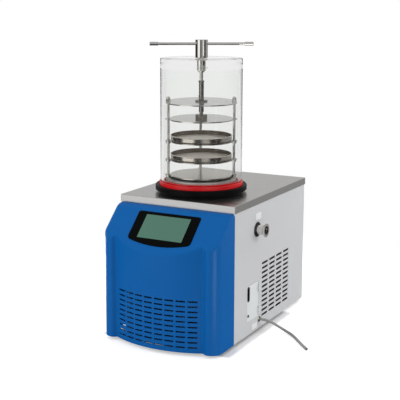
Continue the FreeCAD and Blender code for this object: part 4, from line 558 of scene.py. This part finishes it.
# --- places read from the frame ----------------------------------------------------------
def chamber_axis() -> Vector:
    """Point on the floor under the axis of the chamber."""
    low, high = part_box("chamber_cylinder")
    middle = (low + high) / 2
    return Vector((middle.x, middle.y, 0.0))


def dress_node(name: str, finish: Finish) -> None:
    """Give every slot of a CAD node one finish."""
    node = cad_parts[name]
    if not node.material_slots:
        node.data.materials.append(finish.material())
    for slot in node.material_slots:
        slot.material = finish.material()


# --- mesh helpers ------------------------------------------------------------------------
def start_clean() -> None:
    """Leave edit mode and deselect everything before a primitive is added."""
    if bpy.context.object and bpy.context.object.mode != "OBJECT":
        bpy.ops.object.mode_set(mode="OBJECT")
    bpy.ops.object.select_all(action="DESELECT")


def take_piece(name: str, finish: Finish, body: str) -> bpy.types.Object:
    """Name the active object, bake its place into its mesh and hang it on a body.

    Args:
        name: the piece's name.
        finish: what it is made of.
        body: the moving body that carries it.

    Returns:
        The finished piece.
    """
    piece = bpy.context.object
    if piece.mode != "OBJECT":
        bpy.ops.object.mode_set(mode="OBJECT")
    piece.name = name
    piece.data.name = name
    bpy.ops.object.transform_apply(location=True, rotation=True, scale=True)
    piece.data.materials.clear()
    piece.data.materials.append(finish.material())
    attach(piece, body)
    return piece


def apply_modifier(piece: bpy.types.Object, kind: str, **settings: Any) -> None:
    """Add a modifier with its settings and apply it."""
    made = piece.modifiers.new(kind.title(), kind)
    for name, value in settings.items():
        setattr(made, name, value)
    bpy.context.view_layer.objects.active = piece
    bpy.ops.object.modifier_apply(modifier=made.name)


def pick_faces(test: Callable[[Vector, Vector], bool]) -> None:
    """In edit mode, select only the faces that pass a test.

    Args:
        test: takes a face's middle and its normal, in the piece's own space.
    """
    mesh = bpy.context.edit_object.data
    bpy.ops.mesh.select_all(action="DESELECT")
    bpy.ops.mesh.select_mode(type="FACE")
    shape = bmesh.from_edit_mesh(mesh)
    for face in shape.faces:
        if test(face.calc_center_median(), face.normal):
            face.select_set(True)
    bmesh.update_edit_mesh(mesh)


def pick_edges(test: Callable[[Vector, Vector], bool]) -> None:
    """In edit mode, select only the edges that pass a test.

    Args:
        test: takes the places of an edge's two ends, in the piece's own space.
    """
    mesh = bpy.context.edit_object.data
    bpy.ops.mesh.select_all(action="DESELECT")
    bpy.ops.mesh.select_mode(type="EDGE")
    shape = bmesh.from_edit_mesh(mesh)
    for edge in shape.edges:
        if test(edge.verts[0].co, edge.verts[1].co):
            edge.select_set(True)
    bmesh.update_edit_mesh(mesh)


def push(distance: float) -> None:
    """Extrude the selected faces along Z."""
    bpy.ops.mesh.extrude_region_move(TRANSFORM_OT_translate={"value": (0, 0, distance)})


def start_cylinder(radius: float, foot: float, top: float, sides: int) -> None:
    """Start an upright cylinder about the chamber axis, and open it for editing.

    Args:
        radius: outer radius.
        foot: height of its lower face.
        top: height of its upper face.
        sides: how many flats approximate the round.
    """
    start_clean()
    place = chamber_axis() + Vector((0, 0, (foot + top) / 2))
    bpy.ops.mesh.primitive_cylinder_add(vertices=sides, radius=radius, depth=top - foot,
                                        location=place)
    bpy.ops.object.mode_set(mode="EDIT")


def smooth(degrees: float = 35.0) -> None:
    """Shade the active piece smooth up to an angle."""
    if bpy.context.object.mode != "OBJECT":
        bpy.ops.object.mode_set(mode="OBJECT")
    bpy.ops.object.shade_smooth_by_angle(angle=math.radians(degrees))


# --- sub-assemblies ----------------------------------------------------------------------
@dataclass
class DrainTube:
    """Milky tube that leaves the drain outlet and lies on the floor."""
    diameter: float = 8 * MM
    wall: float = 1 * MM
    # the same points as the solid's route, in metres from the chamber axis
    route: tuple[tuple[float, float, float], ...] = (
        (0.187, 0.019, 0.038), (0.203, 0.019, 0.038), (0.221, 0.027, 0.032),
        (0.238, 0.039, 0.018), (0.262, 0.042, 0.006), (0.289, 0.026, 0.0041),
        (0.317, -0.005, 0.0041), (0.343, -0.036, 0.0041), (0.369, -0.063, 0.0041),
    )
    length: float = 0.2376

    def build(self) -> bpy.types.Object:
        """Lay the tube as one smooth curve with a hollow cut end."""
        curve = bpy.data.curves.new("drain_hose", "CURVE")
        curve.dimensions = "3D"
        curve.resolution_u = 12
        curve.bevel_depth = self.diameter / 2
        curve.bevel_resolution = 6
        curve.use_fill_caps = False
        spline = curve.splines.new("NURBS")
        spline.points.add(len(self.route) - 1)
        for point, place in zip(spline.points, self.route):
            point.co = (*(Vector(place) + chamber_axis()), 1.0)
        spline.order_u = 3
        spline.use_endpoint_u = True
        hose = bpy.data.objects.new("drain_hose", curve)
        bpy.context.scene.collection.objects.link(hose)
        wall = hose.modifiers.new("wall", "SOLIDIFY")
        wall.thickness = self.wall
        wall.offset = -1.0
        curve.materials.append(SILICONE_TUBE.material())
        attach(hose, "cabinet")
        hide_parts("drain_tube")
        return hose


@dataclass
class Bell:
    """Clear chamber: the tube and its lid bonded into one piece of acrylic."""
    wall: float = 8 * MM
    hole: float = 12.55 * MM
    seat: float = 18.15 * MM
    seat_depth: float = 8 * MM
    rim_round: float = 1.5 * MM
    sides: int = 512

    def build(self) -> bpy.types.Object:
        """Hollow a block from below and sink the gland's seat from above."""
        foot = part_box("chamber_cylinder")[0].z
        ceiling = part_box("chamber_lid")[0].z
        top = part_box("chamber_lid")[1].z
        radius = (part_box("chamber_cylinder")[1].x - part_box("chamber_cylinder")[0].x) / 2
        half = (top - foot) / 2
        start_cylinder(radius, foot, top, self.sides)
        pick_faces(lambda middle, normal: normal.z < -0.9)
        bpy.ops.mesh.inset(thickness=self.wall)
        push(ceiling - foot)
        bpy.ops.mesh.inset(thickness=radius - self.wall - self.hole)
        bpy.ops.mesh.delete(type="FACE")
        pick_faces(lambda middle, normal: normal.z > 0.9 and middle.z > half - MM)
        bpy.ops.mesh.inset(thickness=radius - self.seat)
        push(-self.seat_depth)
        bpy.ops.mesh.inset(thickness=self.seat - self.hole)
        bpy.ops.mesh.delete(type="FACE")
        pick_edges(lambda a, b: max(a.xy.length, b.xy.length) < self.hole + NEAR
                   and abs(a.z - b.z) < NEAR)
        bpy.ops.mesh.bridge_edge_loops()
        pick_edges(lambda a, b: min(a.z, b.z) > half - NEAR
                   and min(a.xy.length, b.xy.length) > radius - NEAR)
        bpy.ops.mesh.bevel(offset=self.rim_round, segments=3, affect="EDGES")
        bell = take_piece("chamber_bell", CAST_ACRYLIC, "cabinet")
        smooth()
        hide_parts("chamber_cylinder", "chamber_lid")
        return bell


@dataclass
class TrapRim:
    """Drawn lip of the ice trap: lines the flange's bore and laps over its top."""
    sheet: float = 0.35 * MM
    bore: float = 98.25 * MM
    lap: float = 107.8 * MM
    depth: float = 21 * MM
    bend: float = 1.2 * MM
    sides: int = 128

    def build(self) -> bpy.types.Object:
        """Turn a short tube outwards at its top and give it the sheet's thickness."""
        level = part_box("trap_flange")[1].z
        start_clean()
        bpy.ops.mesh.primitive_circle_add(vertices=self.sides, radius=self.bore,
                                          location=chamber_axis() + Vector((0, 0, level)))
        bpy.ops.object.mode_set(mode="EDIT")
        bpy.ops.mesh.select_all(action="SELECT")
        bpy.ops.mesh.extrude_region_move(TRANSFORM_OT_translate={"value": (0, 0, -self.depth)})
        pick_edges(lambda a, b: min(a.z, b.z) > -NEAR)
        grow = self.lap / self.bore
        bpy.ops.mesh.extrude_region_move()
        bpy.ops.transform.resize(value=(grow, grow, 1.0))
        pick_edges(lambda a, b: min(a.z, b.z) > -NEAR
                   and max(a.xy.length, b.xy.length) < self.bore + NEAR)
        bpy.ops.mesh.bevel(offset=self.bend, segments=4, affect="EDGES")
        bpy.ops.mesh.select_all(action="SELECT")
        bpy.ops.mesh.normals_make_consistent(inside=False)
        rim = take_piece("trap_rim", DRAWN_STEEL, "cabinet")
        apply_modifier(rim, "SOLIDIFY", thickness=self.sheet, offset=1.0)
        smooth()
        return rim


@dataclass
class LeadScrew:
    """Trapezoidal screw with a 5 mm lead, its plain neck and its thrust button."""
    pitch: float = 5 * MM
    depth: float = 1.5 * MM
    # shares of the pitch that a flank and a crest or root take
    flank: float = 0.14
    crest: float = 0.36
    # gap between the core and the thread's root, and between its end collar and the crest
    root_gap: float = 0.2 * MM
    crest_gap: float = 0.4 * MM
    chamfer: float = 0.8 * MM
    neck: float = 5 * MM
    neck_length: float = 9.4 * MM
    button: float = 7.5 * MM
    button_height: float = 5 * MM
    collar: float = 4 * MM
    steps: int = 40
    core_sides: int = 48

    def build(self) -> bpy.types.Object:
        """Sweep one tooth round the axis, cut it to length and add the plain ends."""
        low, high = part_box("lead_screw")
        radius = (high.x - low.x) / 2
        foot = low.z + self.button_height + self.neck_length - self.pitch
        start_clean()
        bpy.ops.mesh.primitive_plane_add(size=self.pitch, location=chamber_axis()
                                         + Vector((0, 0, foot - self.pitch)))
        bpy.ops.object.mode_set(mode="EDIT")
        # Known fault: the tooth starts from one corner, which only vertex selection keeps. The
        # pieces made before this one leave edge selection on, so no tooth is drawn and the
        # plain core is all that is left.
        bpy.ops.mesh.merge(type="CENTER")
        bpy.ops.transform.translate(value=(radius - self.depth, 0, 0))
        slope, flat = self.flank * self.pitch, self.crest * self.pitch
        for out, up in ((0, flat), (self.depth, slope), (0, flat), (-self.depth, slope)):
            bpy.ops.mesh.extrude_region_move(TRANSFORM_OT_translate={"value": (out, 0, up)})
        bpy.ops.object.mode_set(mode="OBJECT")
        thread = bpy.context.object
        turns = math.ceil((high.z - foot) / self.pitch) + 2
        apply_modifier(thread, "SCREW", axis="Z", angle=math.tau, screw_offset=self.pitch,
                       iterations=turns, steps=self.steps, render_steps=self.steps,
                       use_merge_vertices=True, merge_threshold=WELD)
        bpy.ops.object.mode_set(mode="EDIT")
        bpy.ops.mesh.select_all(action="SELECT")
        bpy.ops.mesh.remove_doubles(threshold=WELD)
        for level, up in ((foot + self.pitch, False), (high.z - self.root_gap, True)):
            bpy.ops.mesh.select_all(action="SELECT")
            bpy.ops.mesh.bisect(plane_co=(0, 0, level), plane_no=(0, 0, 1), use_fill=True,
                                clear_inner=not up, clear_outer=up)
        bpy.ops.mesh.select_all(action="SELECT")
        bpy.ops.mesh.normals_make_consistent(inside=False)
        bpy.ops.object.mode_set(mode="OBJECT")
        ends = self.plain_ends(low.z, high.z, radius)
        start_clean()
        ends.select_set(True)
        thread.select_set(True)
        bpy.context.view_layer.objects.active = thread
        bpy.ops.object.join()
        screw = take_piece("threaded_screw", SCREW_STEEL, "handle")
        smooth(30.0)
        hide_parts("lead_screw")
        return screw

    def plain_ends(self, foot: float, top: float, radius: float) -> bpy.types.Object:
        """Turn the core with its collar, neck and button.

        Args:
            foot: underside of the button.
            top: upper end of the screw.
            radius: outer radius of the thread.

        Returns:
            The turned core, closed.
        """
        start_cylinder(self.button, foot, foot + self.button_height, self.core_sides)
        pick_faces(lambda middle, normal: normal.z > 0.9)
        bpy.ops.mesh.inset(thickness=self.button - self.neck)
        push(self.neck_length)
        core = radius - self.depth - self.root_gap
        self.widen(core / self.neck)
        push(top - foot - self.button_height - self.neck_length - self.collar)
        self.widen((radius - self.crest_gap) / core)
        push(self.collar)
        bpy.ops.mesh.bevel(offset=self.chamfer, segments=2, affect="EDGES")
        bpy.ops.object.mode_set(mode="OBJECT")
        return bpy.context.object

    def widen(self, growth: float) -> None:
        """Add a flat step to the end face and scale its radius."""
        bpy.ops.mesh.extrude_region_move()
        bpy.ops.transform.resize(value=(growth, growth, 1.0))


@dataclass
class Labels:
    """Blank plates on the right panel: printed card under a clear film with round corners."""
    thickness: float = 0.3 * MM
    corner: float = 2 * MM
    border: float = 1.2 * MM
    # width and depth of the step from the raised border to the card
    step: tuple[float, float] = (0.15 * MM, 0.08 * MM)
    # middle (y, z) from the chamber axis, width and height, in metres
    plates: tuple[tuple[float, float, float, float], ...] = (
        (0.008, 0.351, 0.036, 0.020), (-0.011, 0.0248, 0.034, 0.0165),
    )

    def build(self) -> list[bpy.types.Object]:
        """Shape each plate, with its raised border, on the panel's outer face."""
        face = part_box("right_panel")[1].x
        made = []
        for number, (y, z, width, height) in enumerate(self.plates):
            start_clean()
            place = chamber_axis() + Vector((0, y, z))
            place.x = face
            bpy.ops.mesh.primitive_plane_add(size=1, location=place,
                                             rotation=(0, math.pi / 2, 0))
            bpy.ops.transform.resize(value=(1, width, height))
            bpy.ops.object.transform_apply(location=False, rotation=True, scale=True)
            bpy.ops.object.mode_set(mode="EDIT")
            bpy.ops.mesh.select_all(action="SELECT")
            bpy.ops.mesh.bevel(offset=self.corner, segments=5, affect="VERTICES")
            bpy.ops.mesh.select_all(action="SELECT")
            bpy.ops.mesh.extrude_region_move(
                TRANSFORM_OT_translate={"value": (self.thickness, 0, 0)})
            bpy.ops.mesh.inset(thickness=self.border, depth=0.0)
            bpy.ops.mesh.inset(thickness=self.step[0], depth=-self.step[1])
            bpy.ops.mesh.select_all(action="SELECT")
            bpy.ops.mesh.normals_make_consistent(inside=False)
            made.append(take_piece(f"side_label_{number + 1}", LABEL_VINYL, "cabinet"))
        return made


# --- studio ------------------------------------------------------------------------------
@dataclass
class Viewpoint:
    """The camera, placed from the chamber axis."""
    azimuth: float = math.radians(29.04)
    pitch: float = math.radians(9.76)
    place: tuple[float, float, float] = (1.289, -2.426, 0.950)
    lens: float = 84.9
    shift: tuple[float, float] = (0.040, -0.080)

    def build(self) -> None:
        """Add the camera and make it the scene's."""
        data = bpy.data.cameras.new("view")
        data.lens = self.lens
        data.sensor_width = 36.0
        data.shift_x, data.shift_y = self.shift
        data.clip_start, data.clip_end = 0.05, 50.0
        camera = bpy.data.objects.new("view", data)
        camera.location = chamber_axis() + Vector(self.place)
        camera.rotation_euler = (math.pi / 2 - self.pitch, 0.0, self.azimuth)
        bpy.context.scene.collection.objects.link(camera)
        bpy.context.scene.camera = camera


class Use(Enum):
    """What a soft light is for."""
    WASH = "lights matt surfaces and never shows in gloss"
    GLINT = "shows in gloss and lights nothing matt"


@dataclass(frozen=True)
class SoftBox:
    """One soft light: where it stands, how wide, how tall and how strong."""
    name: str
    place: tuple[float, float, float]
    size: tuple[float, float]
    power: float
    use: Use = Use.WASH

    def build(self, target: Vector) -> None:
        """Hang the light and turn it to the object."""
        data = bpy.data.lights.new(self.name, "AREA")
        data.shape = "RECTANGLE"
        data.size, data.size_y = self.size
        data.energy = self.power
        lamp = bpy.data.objects.new(self.name, data)
        lamp.location = self.place
        aim = target - lamp.location
        if self.use is Use.GLINT:
            aim.z = 0.0
        lamp.rotation_euler = aim.to_track_quat("-Z", "Y").to_euler()
        lamp.visible_glossy = self.use is not Use.WASH
        lamp.visible_diffuse = self.use is not Use.GLINT
        lamp.visible_camera = False
        lamp.visible_transmission = False
        bpy.context.scene.collection.objects.link(lamp)


@dataclass
class Surround:
    """White cove with dark flags: what the backdrop shows and what gloss reflects."""
    # brightness round the horizon by compass turn: 0.25 is the front, 0.5 the right side
    turn: tuple[tuple[float, float], ...] = (
        (0.00, 0.04), (0.115, 0.02), (0.135, 1.25), (0.240, 1.25), (0.265, 0.08),
        (0.325, 0.10), (0.345, 0.55), (0.40, 0.55), (0.425, 0.02), (0.54, 0.03),
        (0.56, 0.38), (0.74, 0.38), (0.76, 0.05), (0.78, 0.95), (0.87, 0.95), (0.89, 0.10),
        (0.91, 0.60), (0.95, 0.60), (0.97, 0.04), (1.00, 0.04),
    )
    # brightness by height over the horizon, where the compass pattern fades out
    lift: tuple[tuple[float, float], ...] = (
        (0.0, 0.25), (0.52, 0.56), (0.60, 0.66), (0.85, 0.66), (0.95, 0.50), (1.0, 0.50),
    )
    through: float = 0.85
    # heights over the horizon between which the compass pattern gives way to the dome
    fade: tuple[float, float] = (0.02, 0.12)
    # a bounced ray that crossed fewer clear surfaces than this still sees the plain backdrop
    plain_depth: float = 2.5

    def ramp(self, tree: bpy.types.NodeTree, value: bpy.types.NodeSocket,
             stops: tuple[tuple[float, float], ...]) -> bpy.types.NodeSocket:
        """Grey ramp with the given stops.

        Args:
            tree: the world's node tree.
            value: the 0 to 1 input.
            stops: position and brightness of each stop.

        Returns:
            The grey output.
        """
        made = add_node(tree, "ShaderNodeValToRGB", {0: value})
        elements = made.color_ramp.elements
        while len(elements) > 1:
            elements.remove(elements[-1])
        for number, (position, grey) in enumerate(stops):
            stop = elements[0] if number == 0 else elements.new(position)
            stop.position = position
            stop.color = (grey, grey, grey, 1.0)
        return made.outputs[0]

    def build(self) -> None:
        """Make the world: white to the eye and through glass, flagged in reflections."""
        world = bpy.data.worlds.new("studio")
        world.use_nodes = True
        bpy.context.scene.world = world
        tree = world.node_tree
        place = add_node(tree, "ShaderNodeTexCoord", {}).outputs["Generated"]
        compass = add_node(tree, "ShaderNodeTexGradient", {"Vector": place},
                           gradient_type="RADIAL")
        height = add_node(tree, "ShaderNodeSeparateXYZ", {0: place}).outputs["Z"]
        band = self.ramp(tree, compass.outputs["Fac"], self.turn)
        dome = self.ramp(tree, add_node(tree, "ShaderNodeMapRange",
                                        {0: height, 1: -1.0, 2: 1.0}).outputs[0], self.lift)
        above = add_node(tree, "ShaderNodeMapRange", {0: height, 1: self.fade[0],
                                                      2: self.fade[1]})
        seen = add_node(tree, "ShaderNodeMix", {0: above.outputs[0], 6: band, 7: dome},
                        data_type="RGBA").outputs[2]
        path = add_node(tree, "ShaderNodeLightPath", {})
        bounced = add_node(tree, "ShaderNodeMath", {0: path.outputs["Glossy Depth"],
                                                    1: path.outputs["Diffuse Depth"]},
                           operation="ADD")
        straight = add_node(tree, "ShaderNodeMath", {0: bounced.outputs[0], 1: 0.5},
                            operation="LESS_THAN")
        in_wall = add_node(tree, "ShaderNodeMath",
                           {0: path.outputs["Transmission Depth"], 1: self.plain_depth},
                           operation="LESS_THAN")
        direct = add_node(tree, "ShaderNodeMath",
                          {0: straight.outputs[0], 1: in_wall.outputs[0]},
                          operation="MAXIMUM")
        glass = add_node(tree, "ShaderNodeMath",
                         {0: direct.outputs[0], 1: path.outputs["Is Transmission Ray"]},
                         operation="MULTIPLY")
        dimmed = (self.through, self.through, self.through, 1.0)
        backed = add_node(tree, "ShaderNodeMix", {0: glass.outputs[0], 6: seen, 7: dimmed},
                          data_type="RGBA")
        final = add_node(tree, "ShaderNodeMix", {0: path.outputs["Is Camera Ray"],
                                                 6: backed.outputs[2], 7: (1.0, 1.0, 1.0, 1.0)},
                         data_type="RGBA")
        tree.links.new(final.outputs[2], tree.nodes["Background"].inputs["Color"])


@dataclass
class Studio:
    """Pale floor, soft boxes and the surround."""
    floor_radius: float = 1.15
    floor_glow: float = 0.45
    # what matt surfaces and the eye get from the floor, and the darker tone gloss mirrors
    floor_tones: tuple[str, str] = ("#F4F4F4", "#3C3C3C")
    # half width and half depth of the dark patch under the machine, about the chamber axis
    shade: tuple[float, float] = (0.200, 0.215)
    boxes: tuple[SoftBox, ...] = (
        SoftBox("key_box", (-1.5, -2.3, 1.3), (1.6, 1.8), 28.0),
        SoftBox("side_box", (2.6, 0.6, 1.2), (1.6, 1.8), 28.0),
        SoftBox("top_box", (0.2, 0.2, 2.6), (2.2, 2.2), 16.0),
        SoftBox("chamber_glint", (1.84, -0.78, 0.42), (0.30, 0.75), 1.6, Use.GLINT),
        SoftBox("right_pillar_glint", (0.47, -0.50, 0.15), (0.14, 0.30), 0.9, Use.GLINT),
        SoftBox("left_pillar_glint", (-0.58, -0.09, 0.15), (0.10, 0.30), 1.1, Use.GLINT),
        SoftBox("back_left_box", (-2.2, 1.8, 1.3), (1.6, 1.6), 13.0),
        SoftBox("back_right_box", (1.6, 2.4, 1.3), (1.6, 1.6), 13.0),
    )

    def build(self) -> None:
        """Lay the floor, set the surround and hang the boxes."""
        start_clean()
        bpy.ops.mesh.primitive_circle_add(vertices=96, radius=self.floor_radius,
                                          fill_type="NGON")
        floor = bpy.context.object
        floor.name = "studio_floor"
        floor.data.materials.append(self.floor_paint())
        floor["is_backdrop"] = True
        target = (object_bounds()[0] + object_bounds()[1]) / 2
        for box in self.boxes:
            box.build(target)
        Surround().build()
        bpy.context.scene.view_settings.view_transform = "Standard"

    def floor_paint(self) -> bpy.types.Material:
        """Matt white paint that the eye sees a little brighter than it is."""
        paint = Coating("pale_floor_paint", "#F4F4F4", "#F2F2F2", 0.8).material()
        tree = paint.node_tree
        path = add_node(tree, "ShaderNodeLightPath", {})
        reach = add_node(tree, "ShaderNodeVectorMath",
                         {0: object_point(tree, (1.0 / self.shade[0], 1.0 / self.shade[1], 0.0),
                                          chamber_axis())},
                         operation="ABSOLUTE")
        sides = add_node(tree, "ShaderNodeSeparateXYZ", {0: reach.outputs["Vector"]})
        further = add_node(tree, "ShaderNodeMath", {0: sides.outputs["X"], 1: sides.outputs["Y"]},
                           operation="MAXIMUM")
        open_floor = add_node(tree, "ShaderNodeMapRange", {0: further.outputs[0],
                                                           1: 1.0, 2: 1.06})
        seen = add_node(tree, "ShaderNodeMath", {0: open_floor.outputs[0],
                                                 1: path.outputs["Is Camera Ray"]},
                        operation="MULTIPLY")
        shader = tree.nodes["Principled BSDF"]
        tree.links.new(spread(tree, seen.outputs[0], 0.0, self.floor_glow),
                       shader.inputs["Emission Strength"])
        tree.links.new(tinted(tree, path.outputs["Is Glossy Ray"], *self.floor_tones),
                       shader.inputs["Base Color"])
        shader.inputs["Emission Color"].default_value = (1.0, 1.0, 1.0, 1.0)
        return paint


def main() -> None:
    """Build the pieces in order and report each one."""
    logging.basicConfig(level=logging.INFO)
    Viewpoint().build()
    log.info("camera set")
    log.info("laid %s", DrainTube().build().name)
    for name, finish in FINISH_OF.items():
        dress_node(name, finish)
    log.info("dressed %d nodes", len(FINISH_OF))
    for maker in (Bell(), TrapRim(), LeadScrew()):
        log.info("built %s", maker.build().name)
    for label in Labels().build():
        log.info("stuck %s", label.name)
    Studio().build()
    log.info("studio lit")


if __name__ == "__main__":
    main()
